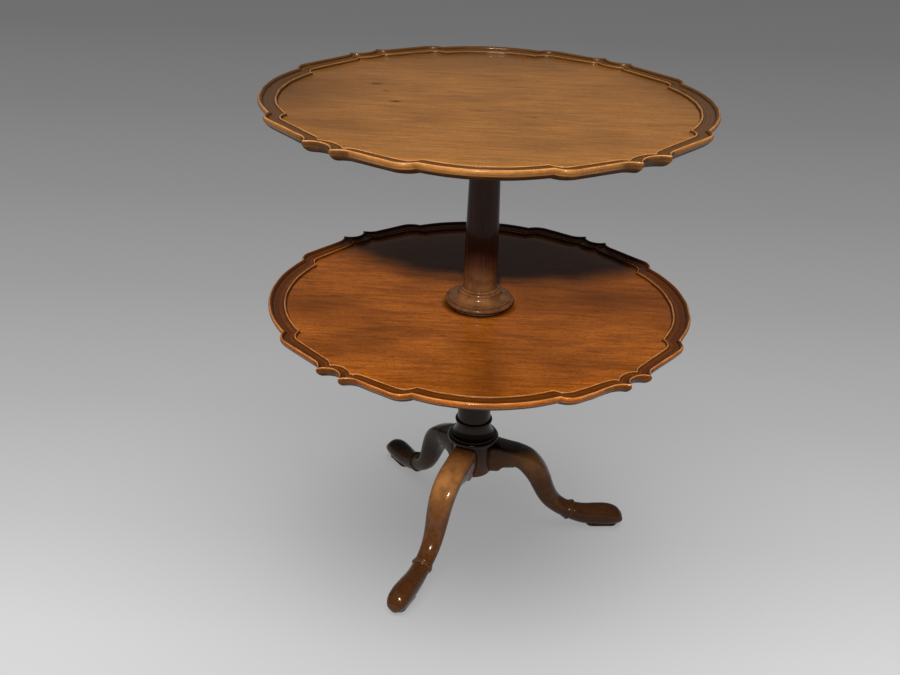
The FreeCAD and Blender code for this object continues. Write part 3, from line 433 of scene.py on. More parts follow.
class Nodes:
    """A node tree that is built node by node."""

    def __init__(self, tree):
        self.tree = tree

    def put(self, socket, value):
        """Set an input, or lead another node's output to it."""
        if isinstance(value, bpy.types.NodeSocket):
            self.tree.links.new(value, socket)
        else:
            socket.default_value = value

    def add(self, kind, inputs, **settings):
        """A node with its settings and its inputs, each a value or another node's output."""
        node = self.tree.nodes.new(kind)
        for name, value in settings.items():
            setattr(node, name, value)
        for name, value in inputs.items():
            self.put(node.inputs[name], value)
        return node

    def calculate(self, operation, first, second):
        return self.add("ShaderNodeMath", {0: first, 1: second},
                        operation=operation).outputs["Value"]

    def times(self, value, share):
        return self.calculate("MULTIPLY", value, share)

    def seen(self):
        """1 where the camera, the polish or a clear thing looks, and 0 for plain light."""
        rays = self.add("ShaderNodeLightPath", {}).outputs
        seen = self.calculate("MAXIMUM", rays["Is Camera Ray"], rays["Is Glossy Ray"])
        return self.calculate("MAXIMUM", seen, rays["Is Transmission Ray"])

    def mixed(self, share, first, second):
        """Two shaders laid over each other."""
        return self.add("ShaderNodeMixShader", {0: share, 1: first, 2: second}).outputs[0]


class Finish(Nodes):
    """One procedural material."""

    def __init__(self, name, **shader_values):
        self.material = bpy.data.materials.new(name)
        self.material.use_nodes = True
        super().__init__(self.material.node_tree)
        self.shader = self.tree.nodes["Principled BSDF"]
        for socket, value in shader_values.items():
            self.shader.inputs[socket.replace("_", " ")].default_value = value

    def spots(self):
        return self.add("ShaderNodeTexCoord", {}).outputs["Object"]

    def place(self, scale, rotation=(0, 0, 0), seed=0.0):
        """Places on the piece itself, stretched along its grain."""
        turned = self.add("ShaderNodeMapping", {
            "Vector": self.spots(), "Rotation": rotation, "Location": (seed, seed, seed)})
        return self.add("ShaderNodeMapping", {
            "Vector": turned.outputs["Vector"], "Scale": scale}).outputs["Vector"]

    def noise(self, spots, detail=2.0, distortion=0.0, roughness=0.5):
        return self.add("ShaderNodeTexNoise", {
            "Vector": spots, "Scale": 1.0, "Detail": detail, "Roughness": roughness,
            "Distortion": distortion}).outputs["Fac"]

    def spread(self, value, low, high, to_low=0.0, to_high=1.0):
        """A value eased from one range to another."""
        return self.add("ShaderNodeMapRange", {
            "Value": value, "From Min": low, "From Max": high, "To Min": to_low,
            "To Max": to_high}, interpolation_type="SMOOTHSTEP").outputs["Result"]

    def mark(self, name):
        return self.add("ShaderNodeAttribute", {}, attribute_name=name).outputs["Fac"]

    def blend(self, share, first, second):
        """One colour laid over another by a share."""
        node = self.add("ShaderNodeMix", {}, data_type="RGBA", blend_type="MIX")
        for number, value in ((0, share), (6, first), (7, second)):
            self.put(node.inputs[number], value)
        return node.outputs[2]

    def connect(self, socket, output):
        self.tree.links.new(output, self.shader.inputs[socket])

    def bump(self, height, strength, distance):
        """Relief from a height, laid on the shader's normal."""
        node = self.add("ShaderNodeBump", {
            "Height": height, "Strength": strength, "Distance": distance})
        self.connect("Normal", node.outputs["Normal"])


def solid(colour):
    return (*colour, 1.0)


def darker(colour, share):
    return solid([channel * share for channel in colour])


# Patterns in the wood: how many times a metre they change, along the grain and twice across
# it, then the noise's detail, distortion and roughness
GRAIN = {
    "figure": ((5, 14, 14), 2.0, 0.8), "strand": ((9, 170, 170), 2.0, 0.2),
    "fibre": ((26, 430, 430), 2.0, 0.0, 0.6), "pores": ((110, 1400, 1400), 1.0),
    "cloud": ((6, 10, 10), 3.0, 0.3), "blotch": ((15, 90, 90), 4.0, 0.4, 0.65),
    "speck": ((210, 620, 620), 2.0, 0.0, 0.7), "smear": ((14, 26, 26), 3.0),
    "sway": ((9, 24, 24), 1.0),
}
STRIPE_SHARES = (("figure", 0.20), ("fibre", 0.50), ("strand", 0.30))
DEEP_SHARE, SHADED_SHARE, UNPOLISHED_SHARE = 0.40, 0.31, 0.6
BREAKS = (60, 60, 60)
WARM_GLOSS = (1.0, 0.74, 0.52, 1.0)


def mahogany(name, light, dark, polish, rotation=(0, 0, 0), stains=(), patches=(), wear_and_highlight_amount=0.3,
             gloss=0.2, seed=0.0, softness=0.0, mottle=0.3, sheen=0.04):
    """Polished mahogany with its grain along the piece's turned X axis.

    polish is the roughness of its smoothest places; the wear amount, softness and mottle say how
    much rubbed wood and painted highlight shows, how even the fibres are and how dark its clouds
    and specks are."""
    colours = bpy.context.scene.table_finishes
    wood = Finish(name, IOR=1.5, Specular_IOR_Level=gloss, Coat_Weight=sheen,
                  Coat_Roughness=0.08, Specular_Tint=WARM_GLOSS)
    deep, wax_and_shade = darker(dark, DEEP_SHARE), solid(colours.wax_and_shade)
    patterns = {pattern: wood.noise(wood.place(scale, rotation, seed), *settings)
                for pattern, (scale, *settings) in GRAIN.items()}
    cloud, fibre = patterns["cloud"], patterns["fibre"]
    figure, fibres, strands = (wood.times(patterns[pattern], share)
                               for pattern, share in STRIPE_SHARES)
    stripe = wood.calculate("ADD", wood.calculate("ADD", figure, fibres), strands)
    colour = wood.blend(wood.spread(stripe, 0.36 - softness, 0.64 + softness),
                        solid(dark), solid(light))
    pore_share = wood.spread(patterns["pores"], 0.60, 0.72, 0.0, 0.42)
    for share in (wood.spread(cloud, 0.43, 0.72, 0.0, 1.2 * mottle), pore_share,
                  wood.spread(patterns["blotch"], 0.46, 0.68, 0.0, mottle),
                  wood.spread(patterns["speck"], 0.50, 0.70, 0.0, 1.4 * mottle)):
        colour = wood.blend(share, colour, deep)
    for tint, ragged, places, soft in ((deep, cloud, patches, 0.0), (wax_and_shade, fibre, stains, 0.7)):
        for across, along, length, width, depth in places:
            moved = wood.add("ShaderNodeMapping", {
                "Vector": wood.spots(), "Location": (-across / length, -along / width, 0),
                "Scale": (1 / length, 1 / width, 0)}).outputs["Vector"]
            far = wood.add("ShaderNodeVectorMath", {0: moved},
                           operation="LENGTH").outputs["Value"]
            edge = wood.calculate("ADD", far, wood.times(ragged, 0.8))
            colour = wood.blend(wood.spread(edge, soft, 1.6, depth, 0.0), colour, tint)
    shaded, wear_and_highlight, grime_and_shade, bare = map(wood.mark, ("shaded", "wear_and_highlight", "grime_and_shade", "bare"))
    broken = wood.noise(wood.place(BREAKS), 3.0)
    # The worn mark is wear and, on the rims, knees and column's base, painted highlight
    rubbed_and_highlit = wood.times(wear_and_highlight, wood.spread(broken, 0.34, 0.66, 0.45 * wear_and_highlight_amount, wear_and_highlight_amount))
    # The grimed mark is old wax and, on the rims, painted shade
    dirt_and_shade = wood.times(grime_and_shade, wood.spread(broken, 0.25, 0.6, 0.7, 1.0))
    rough_wood = wood.blend(wood.spread(fibre, 0.3, 0.7), solid(colours.bare),
                            darker(colours.bare, UNPOLISHED_SHARE))
    for share, tint in ((shaded, darker(dark, SHADED_SHARE)), (rubbed_and_highlit, solid(colours.wear_and_highlight)),
                        (dirt_and_shade, wax_and_shade), (bare, rough_wood)):
        colour = wood.blend(share, colour, tint)
    wood.connect("Base Color", colour)
    rough = wood.spread(patterns["smear"], 0.3, 0.75, polish, polish + 0.10)
    handled = wood.calculate("MAXIMUM", shaded, wear_and_highlight)
    for way, mark, share in (("SUBTRACT", handled, 0.12), ("ADD", dirt_and_shade, 0.2),
                             ("ADD", bare, 0.35)):
        rough = wood.calculate(way, rough, wood.times(mark, share))
    wood.connect("Roughness", rough)
    relief = wood.calculate("SUBTRACT", wood.times(fibre, 0.35), wood.times(pore_share, 0.8))
    relief = wood.calculate("ADD", relief, wood.times(patterns["sway"], 1.5))
    wood.bump(relief, 0.22, 0.2 * MILLIMETRE)
    return wood.material


# Tiers

# Points along a plain arc, a scoop, an ear or hollow, and the slope between those two
ARC_POINTS, SCOOP_POINTS, EAR_POINTS, SLOPE_POINTS = 44, 12, 10, 5
STRAY_WAVES, LONGEST_STRAY = 24, 9


def turn_left(vector, sense):
    return np.array([-vector[1], vector[0]]) * sense


def ogee(notch, tip, sense, share):
    """Ear, slope and hollow from a notch to a cusp tip, as in the carved blank."""
    sizes = bpy.context.scene.table_tiers

    def eased(outer, inner):
        return outer + (inner - outer) * share

    def heading(spot, angle):
        outward = spot / np.hypot(*spot)
        lean = math.radians(angle)
        return turn_left(outward, sense) * math.cos(lean) + outward * math.sin(lean)

    ear = eased(sizes.ear_radius, sizes.inner_ear_radius)
    hollow = eased(sizes.hollow_radius, sizes.inner_hollow_radius)
    leaving = heading(notch, eased(EAR_LEAVES, INNER_EAR_LEAVES))
    arriving = heading(tip, eased(TIP_ARRIVES, INNER_TIP_ARRIVES))
    ear_centre = notch + turn_left(leaving, sense) * ear
    hollow_centre = tip - turn_left(arriving, sense) * hollow
    between = hollow_centre - ear_centre
    slope = math.sqrt(between.dot(between) - (ear + hollow) ** 2)
    angle = math.atan2(between[1], between[0]) + sense * math.atan2(ear + hollow, slope)
    along = np.array([math.cos(angle), math.sin(angle)])
    ear_end = ear_centre - turn_left(along, sense) * ear
    hollow_start = hollow_centre + turn_left(along, sense) * hollow
    ear_middle = (notch + ear_end) / 2 - ear_centre
    hollow_middle = (hollow_start + tip) / 2 - hollow_centre
    ear_top = ear_centre + ear_middle / np.hypot(*ear_middle) * ear
    hollow_foot = hollow_centre + hollow_middle / np.hypot(*hollow_middle) * hollow
    return [notch, ear_top, ear_end, hollow_start, hollow_foot, tip]


def pie_crust(radius, angles, share):
    """The pie-crust outline at one depth into the rim, as points round the tier."""
    sizes = bpy.context.scene.table_tiers
    plain = radius - share * sizes.rim_width
    notch_radius, tip_radius = plain - sizes.notch_drop, plain + sizes.tip_rise
    scoop = sizes.scoop_depth + (sizes.inner_scoop_depth - sizes.scoop_depth) * share

    def spot(distance, degrees):
        bearing = math.radians(degrees + angles["turned"])
        return distance * np.array([math.cos(bearing), math.sin(bearing)])

    sides = [(-90, "front"), (0, "side"), (90, "front"), (180, "side")]
    points = []
    for number, (bearing, kind) in enumerate(sides):
        half = angles[kind]
        next_kind = sides[(number + 1) % len(sides)][1]
        cusp = bearing + (angles["cusp"] if kind == "front" else 90 - angles["cusp"])
        notch = spot(notch_radius, bearing + half)
        tip = spot(tip_radius, cusp - angles["half_cusp"])
        next_tip = spot(tip_radius, cusp + angles["half_cusp"])
        next_notch = spot(notch_radius, bearing + 90 - angles[next_kind])
        points.append(arc_through(spot(notch_radius, bearing - half), spot(plain, bearing),
                                  notch, ARC_POINTS))
        out = ogee(notch, tip, 1, share)
        back = ogee(next_notch, next_tip, -1, share)[::-1]
        for run in (out, back):
            if run is back:
                points.append(arc_through(tip, spot(tip_radius - scoop, cusp), next_tip,
                                          SCOOP_POINTS))
            points.append(arc_through(*run[:3], EAR_POINTS))
            points.append(line_between(*run[2:4], SLOPE_POINTS))
            points.append(arc_through(*run[3:], EAR_POINTS))
    return np.vstack(points)


def wander(points, amount, seed):
    """Small strays of the carver's line, smooth round the outline."""
    strays = np.random.default_rng(seed).normal(0, 1, (STRAY_WAVES, 2))
    bearings = np.arctan2(points[:, 1], points[:, 0])
    shift = np.zeros(len(points))
    for order, (cosine, sine) in enumerate(strays, start=LONGEST_STRAY):
        shift += cosine * np.cos(order * bearings) + sine * np.sin(order * bearings)
    shift *= amount / math.sqrt(STRAY_WAVES)
    outward = points / np.linalg.norm(points, axis=1)[:, None]
    return points - outward * np.abs(shift)[:, None]


def tier_rings(radius, angles, lip, board_depth, seed):
    """Rings of the rim from the flat underside over the lip to the edge of the field."""
    sizes = bpy.context.scene.table_tiers
    levels = [(share, drop * board_depth) for share, drop in UNDER_EDGE_SHARES]
    top = [(share, drop * sizes.field_sink)
           for share, drop in LIP_SHARES + BAND_SHARES + BEAD_SHARES + GROOVE_SHARES]
    run = smooth_run(levels + top[1:], 3)
    run[:, 1] = np.maximum(run[:, 1], 0)
    rings = []
    for share, drop in run:
        outline = wander(pie_crust(radius, angles, share), sizes.tool_wander, seed)
        rings.append(np.column_stack([outline, np.full(len(outline), lip - drop)]))
    return rings, run


# Marks across the rim: place as a share of rim_width, half width there, strength
# Light lines on the lip and the bead: wear, and painted highlight
WEAR_AND_HIGHLIGHT_LINES = [(0.065, 0.028, 1.0), (0.9, 0.035, 1.0)]
# Dark lines at the lip's foot, outside the bead and in the groove: old wax, and painted shade
WAX_AND_SHADE_LINES = [(1.005, 0.03, 1.0), (0.84, 0.022, 1.0), (0.255, 0.03, 0.85)]
BEAD_LINE = (0.905, 0.045, 1.0)
BAND_START, BAND_END, BAND_SHADE, STROKE_SHADE = 0.09, 0.99, 0.92, 0.2
# Painted shade down the outer face and under its edge, as shares of the board's depth
LIP_FACE, LIP_FACE_WIDTH, LIP_FACE_SHADE = 0.28, 0.13, 0.3
UNDER_SHADE, UNDER_SHADE_FADE, UNDER_SHADE_FULL = 0.42, 0.08, 0.9


def rim_marks(run, field_sink, board_depth, seed):
    """How worn, grimed and shaded each ring of the rim is, by its place in the section.

    Its light lines are wear and painted highlight, its dark lines old wax and painted shade,
    and the shade on the band, the lip's face and the edge's underside is painted.
    """
    inset, depth = run[:, 0], run[:, 1] / board_depth

    def near(place, width, strength):
        return strength * np.exp(-((inset - place) / width) ** 2)

    above = run[:, 1] < field_sink * 1.2
    wear_and_highlight, grime_and_shade = (above * np.max([near(*line) for line in lines], axis=0)
                    for lines in (WEAR_AND_HIGHLIGHT_LINES, WAX_AND_SHADE_LINES))
    # Painted shade where the edge turns under
    grime_and_shade = np.maximum(grime_and_shade, np.clip((depth - UNDER_SHADE) / UNDER_SHADE_FADE, 0,
                                        UNDER_SHADE_FULL))
    strokes = np.random.default_rng(seed).uniform(-STROKE_SHADE, STROKE_SHADE, len(run))
    band = above * (inset > BAND_START) * (inset < BAND_END)
    shaded = np.clip(band * (BAND_SHADE + strokes), 0, 1) * (1 - near(*BEAD_LINE))
    lip_face = np.exp(-((depth - LIP_FACE) / LIP_FACE_WIDTH) ** 2) * (inset < 0.1)
    return wear_and_highlight, grime_and_shade, np.maximum(shaded, LIP_FACE_SHADE * lip_face)


def hollowness(outline):
    """How hollow an outline is at each of its points, from 0 where it bulges to 1."""
    full_bend, passes = 34, 6
    back, ahead = outline - np.roll(outline, 1, 0), np.roll(outline, -1, 0) - outline
    turn = np.arctan2(back[:, 0] * ahead[:, 1] - back[:, 1] * ahead[:, 0],
                      (back * ahead).sum(1))
    length = (np.hypot(*back.T) + np.hypot(*ahead.T)) / 2
    hollow = np.clip(-turn / length / full_bend, 0, 1)
    for _ in range(passes):
        hollow = (np.roll(hollow, 1) + 2 * hollow + np.roll(hollow, -1)) / 4
    return hollow


def round_ring(like, radius, height):
    """A circle whose points face those of another ring."""
    flat = like[:, :2] / np.linalg.norm(like[:, :2], axis=1)[:, None] * radius
    return np.column_stack([flat, np.full(len(flat), height)])


FIELD_MIDDLE, FIELD_RINGS = 60 * MILLIMETRE, 8
# Old wax and painted shade on the outer face in the scoops and notches, which keep less of the
# worn colour there
HOLLOW_WAX_AND_SHADE, HOLLOW_WEAR_LOST = 0.8, 0.6


def make_tier(name, node, body, radius, angles, finish, seed, bore=None):
    """A carved tier: rim, field, underside, and a bore with its seat where it turns."""
    lip, under = highest(node), lowest(node)
    field = lip - bpy.context.scene.table_tiers.field_sink
    rings, run = tier_rings(radius, angles, lip, lip - under, seed)
    rim, widest = len(rings), rings[int(np.argmin(run[:, 0]))][:, :2]
    first, edge = rings[0], rings[-1]
    field_ring = round_ring(edge, FIELD_MIDDLE, field)
    for share in np.linspace(0, 1, FIELD_RINGS + 1)[1:]:
        spread = edge + (field_ring - edge) * share
        spread[:, 2] = field
        rings.append(spread)
    if bore:
        journal, seat_radius, seat = bore
        rings += [round_ring(edge, *place) for place in (
            (seat_radius, field), (seat_radius, seat), (journal, seat), (journal, under),
            (FIELD_MIDDLE, under))]
        mesh = skin(name, rings, closed=True)
    else:
        rings.insert(0, round_ring(first, FIELD_MIDDLE, under))
        mesh = skin(name, rings, (0, 0, under), (0, 0, field))
    start = 0 if bore else len(first)
    wear_and_highlight, grime_and_shade, shaded = (values[:, None] * np.ones(len(first)) for values in
                            rim_marks(run, lip - field, lip - under, seed))
    outer_face = (run[:, 0] < 0.12) * (run[:, 1] > 0.05 * (lip - under))
    hollow = hollowness(widest) * outer_face[:, None]
    for mark, values in (("wear_and_highlight", wear_and_highlight * (1 - HOLLOW_WEAR_LOST * hollow)),
                         ("grime_and_shade", np.maximum(grime_and_shade, HOLLOW_WAX_AND_SHADE * hollow)),
                         ("shaded", shaded)):
        spread = np.zeros(len(mesh.vertices))
        spread[start:start + rim * len(first)] = values.ravel()
        mark_points(mesh, mark, spread)
    mark_bare(mesh, under + 6 * MILLIMETRE, down=0.75)
    return piece(name, mesh, body, finish, [node])


# Stains and darker patches on the tiers: place across and along, half length and half width
# in metres, strength
UPPER_STAINS = [
    (-0.123, -0.018, 0.010, 0.0042, 0.9), (-0.157, 0.069, 0.010, 0.0045, 0.75),
    (-0.140, 0.034, 0.006, 0.004, 0.6), (0.07, 0.12, 0.006, 0.003, 0.4),
    (0.06, -0.07, 0.005, 0.003, 0.4)]
UPPER_PATCHES = [
    (-0.27, 0.02, 0.13, 0.22, 0.95), (0.0, 0.30, 0.34, 0.15, 0.85),
    (-0.19, -0.13, 0.10, 0.05, 0.45), (0.28, 0.10, 0.08, 0.20, 0.30)]
LOWER_STAINS = [(-0.047, -0.115, 0.005, 0.0024, 0.6), (0.12, -0.05, 0.004, 0.002, 0.3)]
LOWER_PATCHES = [
    (0.18, 0.03, 0.17, 0.09, 0.95), (0.10, -0.07, 0.09, 0.02, 0.35),
    (-0.24, -0.04, 0.09, 0.06, 0.75), (0.018, -0.22, 0.042, 0.17, 0.75),
    (0.09, -0.17, 0.06, 0.10, 0.45), (0.04, 0.20, 0.30, 0.13, 0.70)]


class TABLE_OT_upper_tier(bpy.types.Operator):
    """Carve and polish the upper tier"""
    bl_idname = "table.upper_tier"
    bl_label = "Upper tier"

    def execute(self, context):
        colours = context.scene.table_finishes
        finish = mahogany("upper_mahogany", colours.upper_light, colours.upper_dark, 0.26,
                          stains=UPPER_STAINS, patches=UPPER_PATCHES, wear_and_highlight_amount=0.9, gloss=0.16,
                          mottle=0.26, softness=0.06)
        make_tier("upper_tier_top", "upper_tier", "upper_turntable",
                  context.scene.table_tiers.upper_radius, UPPER_ANGLES, finish, seed=5)
        return {"FINISHED"}


class TABLE_OT_lower_tier(bpy.types.Operator):
    """Carve and polish the lower tier, with the seat of the column's washer"""
    bl_idname = "table.lower_tier"
    bl_label = "Lower tier"

    def execute(self, context):
        colours, stem = context.scene.table_finishes, context.scene.table_stem
        finish = mahogany("lower_mahogany", colours.lower_light, colours.lower_dark, 0.2,
                          stains=LOWER_STAINS, patches=LOWER_PATCHES, wear_and_highlight_amount=0.9, gloss=0.16,
                          seed=0.7, mottle=0.45, softness=0.1)
        seat = (stem.journal_radius + RUNNING_GAP, stem.column_foot_radius + RUNNING_GAP,
                lowest("seat_washer"))
        make_tier("lower_tier_top", "lower_tier", "lower_turntable",
                  context.scene.table_tiers.lower_radius, LOWER_ANGLES, finish, seed=9,
                  bore=seat)
        return {"FINISHED"}


# Turned stem

# Rises in millimetres from moulding to moulding. Column, over its foot: base ring, step, cove,
# bead, astragal. Pillar, over the legs: drum, large ring, fillet, skirt, bead.
COLUMN_RISES, PILLAR_RISES = (8, 1.4, 8.5, 4, 3), (6, 9, 2, 21, 5)
# Depths in millimetres of the collar under its washer, and of the flare under the collar
COLUMN_HEAD, PILLAR_HEAD = (4.5, 11), (5, 12)
FILLET, RING_FOOT, RING_UNDERCUT = 1 * MILLIMETRE, 1.6 * MILLIMETRE, 3.2 * MILLIMETRE
REPEATED = 1e-3 * MILLIMETRE
SIDE_BOW = 17


def soften(points, radius, count=3):
    """Round every corner of an outline by a little, where its two sides are long enough."""
    p = np.array(points, float)
    steps = np.linalg.norm(np.diff(p, axis=0), axis=1)
    p = p[np.append(True, steps > REPEATED)]
    run = [p[0]]
    for before, corner, after in zip(p, p[1:], p[2:]):
        back, ahead = before - corner, after - corner
        back_length, ahead_length = np.hypot(*back), np.hypot(*ahead)
        turn = math.pi - math.acos(np.clip(back.dot(ahead) / (back_length * ahead_length), -1, 1))
        trim = min(radius, back_length * 0.45, ahead_length * 0.45)
        if turn < math.radians(20):
            run.append(corner)
            continue
        start, end = corner + back / back_length * trim, corner + ahead / ahead_length * trim
        for t in np.linspace(0, 1, count + 1):
            run.append(start * (1 - t) ** 2 + 2 * corner * t * (1 - t) + end * t ** 2)
    run.append(p[-1])
    return np.array(run)


def climb(start, rises):
    """Heights from a start, each some millimetres over the last."""
    return [start + rise * MILLIMETRE for rise in np.cumsum(rises)]


def half_round(radius, foot, top, count=12):
    """A bead's profile: a half round whose outermost reach is radius."""
    rise = (top - foot) / 2
    angles = np.linspace(-math.pi / 2, math.pi / 2, count + 1)
    return [(radius - rise + rise * math.cos(a), foot + rise + rise * math.sin(a))
            for a in angles]


def cove(start, end, count=12):
    """A hollow that leaves the first point level and arrives upright at the second."""
    (wide, foot), (narrow, top) = start, end
    angles = np.linspace(0, math.pi / 2, count + 1)
    return [(narrow + (wide - narrow) * (1 - math.sin(a)), foot + (top - foot) * (1 - math.cos(a)))
            for a in angles]


def flare(start, end, count=10):
    """A hollow that leaves the first point upright and arrives level at the second."""
    (narrow, foot), (wide, top) = start, end
    angles = np.linspace(0, math.pi / 2, count + 1)
    return [(narrow + (wide - narrow) * (1 - math.cos(a)), foot + (top - foot) * math.sin(a))
            for a in angles]


def shaft(foot_radius, foot, top_radius, top, count=24):
    """A long taper whose sides swell a little."""
    swell = (top - foot) ** 2 / SIDE_BOW
    return [(foot_radius + (top_radius - foot_radius) * s + swell * s * (1 - s),
             foot + (top - foot) * s) for s in np.linspace(0, 1, count + 1)]


def head(foot, shoulder, end, depths, radii):
    """The upper end of a turned piece: shaft, flare, collar and spigot, up to the axis."""
    root, narrow, flared, top, spigot = radii
    collar = shoulder - depths[0] * MILLIMETRE
    neck = collar - depths[1] * MILLIMETRE
    return (shaft(root, foot, narrow, neck) + flare((narrow, neck), (flared, collar))
            + half_round(top, collar, shoulder)
            + [(spigot, shoulder), (spigot, end), (0, end)])


def turn_piece(name, profile, softness):
    """A closed turned mesh from an outline between two points on the axis, worn and grimed."""
    sides = bpy.context.scene.table_stem.turned_sides
    outline = soften(profile, softness)
    angles = np.linspace(0, math.tau, sides, endpoint=False)
    around = np.column_stack([np.cos(angles), np.sin(angles)])
    rings = [np.column_stack([around * radius, np.full(sides, height)])
             for radius, height in outline[1:-1]]
    mesh = skin(name, rings, (0, 0, outline[0][1]), (0, 0, outline[-1][1]))
    weather(mesh, spread=2, wear_at=700, grime_at=500)
    return mesh


class TABLE_OT_column(bpy.types.Operator):
    """Turn and polish the column between the tiers"""
    bl_idname = "table.column"
    bl_label = "Column"

    def execute(self, context):
        sizes, colours = context.scene.table_stem, context.scene.table_finishes
        foot, step = lowest("column"), sizes.column_step_radius
        ring_top, step_top, cove_top, bead_top, astragal_top = climb(foot, COLUMN_RISES)
        ring_foot, ring_edge = foot + RING_FOOT, sizes.column_foot_radius - RING_UNDERCUT
        profile = [(0, foot), (ring_edge, foot), (ring_edge, ring_foot)]
        profile += half_round(sizes.column_foot_radius, ring_foot, ring_top)
        profile += [(step, ring_top), (step, step_top)]
        profile += cove((step - FILLET, step_top), (sizes.column_cove_radius, cove_top))
        profile += half_round(sizes.column_bead_radius, cove_top, bead_top)
        profile += half_round(sizes.astragal_radius, bead_top, astragal_top)
        profile += head(astragal_top, lowest("upper_washer"), highest("column"), COLUMN_HEAD, (
            sizes.column_root_radius, sizes.column_neck_radius, sizes.column_flare_radius,
            sizes.column_top_radius, sizes.pivot_radius))
        mesh = turn_piece("turned_column", profile, sizes.edge_softness)
        # Painted sheen, with some wear, on the base ring and the step above it
        rub_and_highlight(mesh, (0, 0, foot - 6 * MILLIMETRE), reach=46 * MILLIMETRE, share=1.1)
        finish = mahogany("column_mahogany", colours.stem_light, colours.stem_dark, 0.2,
                          UPRIGHT_GRAIN, wear_and_highlight_amount=0.42, gloss=0.12, sheen=0.15)
        piece("turned_column", mesh, "stem", finish, ["column"])
        return {"FINISHED"}


class TABLE_OT_pillar(bpy.types.Operator):
    """Turn and polish the pillar with its drum, rings and collar"""
    bl_idname = "table.pillar"
    bl_label = "Pillar"

    def execute(self, context):
        sizes, colours = context.scene.table_stem, context.scene.table_finishes
        foot, drum = lowest("pillar"), sizes.drum_radius
        drum_top, torus_top, fillet_top, bead_foot, bead_top = climb(
            context.scene.table_legs.crown, PILLAR_RISES)
        profile = [(0, foot), (drum, foot), (drum, drum_top), (sizes.torus_seat_radius, drum_top)]
        profile += half_round(sizes.torus_radius, drum_top, torus_top)
        profile += [(sizes.skirt_radius, torus_top)]
        profile += cove((sizes.skirt_radius, fillet_top), (sizes.skirt_top_radius, bead_foot))
        profile += half_round(sizes.pillar_bead_radius, bead_foot, bead_top)
        profile += head(bead_top, lowest("lower_washer"), lowest("column"), PILLAR_HEAD, (
            sizes.pillar_waist_radius, sizes.pillar_neck_radius, sizes.pillar_flare_radius,
            sizes.pillar_top_radius, sizes.journal_radius))
        mesh = turn_piece("turned_pillar", profile, sizes.edge_softness)
        # The pillar takes the stem's wood a step darker, as painted shade under the lower tier
        finish = mahogany("pillar_mahogany_painted_shade", colours.stem_dark, colours.stem_shade, 0.2,
                          UPRIGHT_GRAIN, wear_and_highlight_amount=0.1, gloss=0.16, seed=0.3, sheen=0.25)
        piece("turned_pillar", mesh, "stem", finish, ["pillar"])
        return {"FINISHED"}


# Legs


def three_point(first, middle, last, count):
    """Points on a flat arc through three points in space, without the last."""
    t = np.linspace(0, 1, count, endpoint=False)[:, None]
    first, middle, last = (np.array(p, float) for p in (first, middle, last))
    control = 2 * middle - (first + last) / 2
    return first * (1 - t) ** 2 + 2 * control * t * (1 - t) + last * t ** 2


def leg_ring(station, rise):
    """A closed section: crowned top, bowed cheeks, narrower underside, rounded by blurring."""
    top_x, top_z, under_x, under_z, width, flat_top, flat_under, roundness = station
    top, under = np.array([top_x, 0, top_z]), np.array([under_x, 0, under_z])
    upward = (top - under) / np.linalg.norm(top - under)
    top, under = top + upward * rise, under - upward * rise
    crown = upward * (CROWN_SHARE * width)
    widest = top + (under - top) * SIDE_WIDEST_SHARE
    half = np.array([0, width / 2 + rise, 0])
    corner, foot = half * flat_top, half * flat_under
    ring = np.vstack([
        three_point(top - crown - corner, top, top - crown + corner, TOP_POINTS),
        three_point(top - crown + corner, widest + half, under + crown + foot, CHEEK_POINTS),
        three_point(under + crown + foot, under, under + crown - foot, UNDER_POINTS),
        three_point(under + crown - foot, widest - half, top - crown - corner, CHEEK_POINTS),
    ])
    low, high = ring.min(0), ring.max(0)
    for number in range(int(math.ceil(roundness))):
        amount = min(1.0, roundness - number)
        blurred = (np.roll(ring, 1, 0) + np.roll(ring, -1, 0) + 2 * ring) / 4
        ring = ring + (blurred - ring) * amount
    span = ring.max(0) - ring.min(0)
    middle = (ring.max(0) + ring.min(0)) / 2
    grown = np.where(span > 1e-6, (high - low) / np.maximum(span, 1e-6), 1)
    return (ring - middle) * grown + (high + low) / 2


def leg_rings():
    """All the sections of a leg, close together at the ankle's ring."""
    sizes, stem = bpy.context.scene.table_legs, bpy.context.scene.table_stem
    span = sizes.reach - stem.drum_radius
    stations = [(stem.drum_radius + span * a, sizes.crown * b, stem.drum_radius + span * c,
                 sizes.crown * d, sizes.width * e, f, g, h)
                for a, b, c, d, e, f, g, h in LEG_STATIONS]
    rings = []
    for number, station in enumerate(smooth_run(stations, LEG_STEPS)):
        place = number / LEG_STEPS - ANKLE_STATION
        rise = 0.0
        if 0 <= place <= 1:
            for centre, half, height in ANKLE_BEADS:
                off = (place - centre) / half
                if abs(off) < 1:
                    rise += sizes.ankle_rise * height * math.sqrt(1 - off * off)
        elif number % PLAIN_STEP:
            continue
        rings.append(leg_ring(station, rise))
    rings[0][:, 0] = np.sqrt((stem.drum_radius - ROOT_OVERLAP) ** 2 - rings[0][:, 1] ** 2)
    return rings


def pad_rings():
    """The pad under the foot: a rounded slab with eased edges."""
    sizes = bpy.context.scene.table_legs
    toe = sizes.reach - sizes.pad_setback - sizes.pad_radius
    heel = toe - sizes.pad_length
    angles = np.linspace(-math.pi / 2, math.pi / 2, PAD_POINTS)
    rings = []
    for inset, share in PAD_EDGE:
        radius = sizes.pad_radius - inset * MILLIMETRE
        front = [(toe + radius * math.cos(a), radius * math.sin(a)) for a in angles]
        rear = [(heel - radius * math.cos(a), -radius * math.sin(a)) for a in angles]
        outline = np.array(front + rear)
        rings.append(np.column_stack([outline, np.full(len(outline), sizes.pad_height * share)]))
    return rings, (toe + heel) / 2


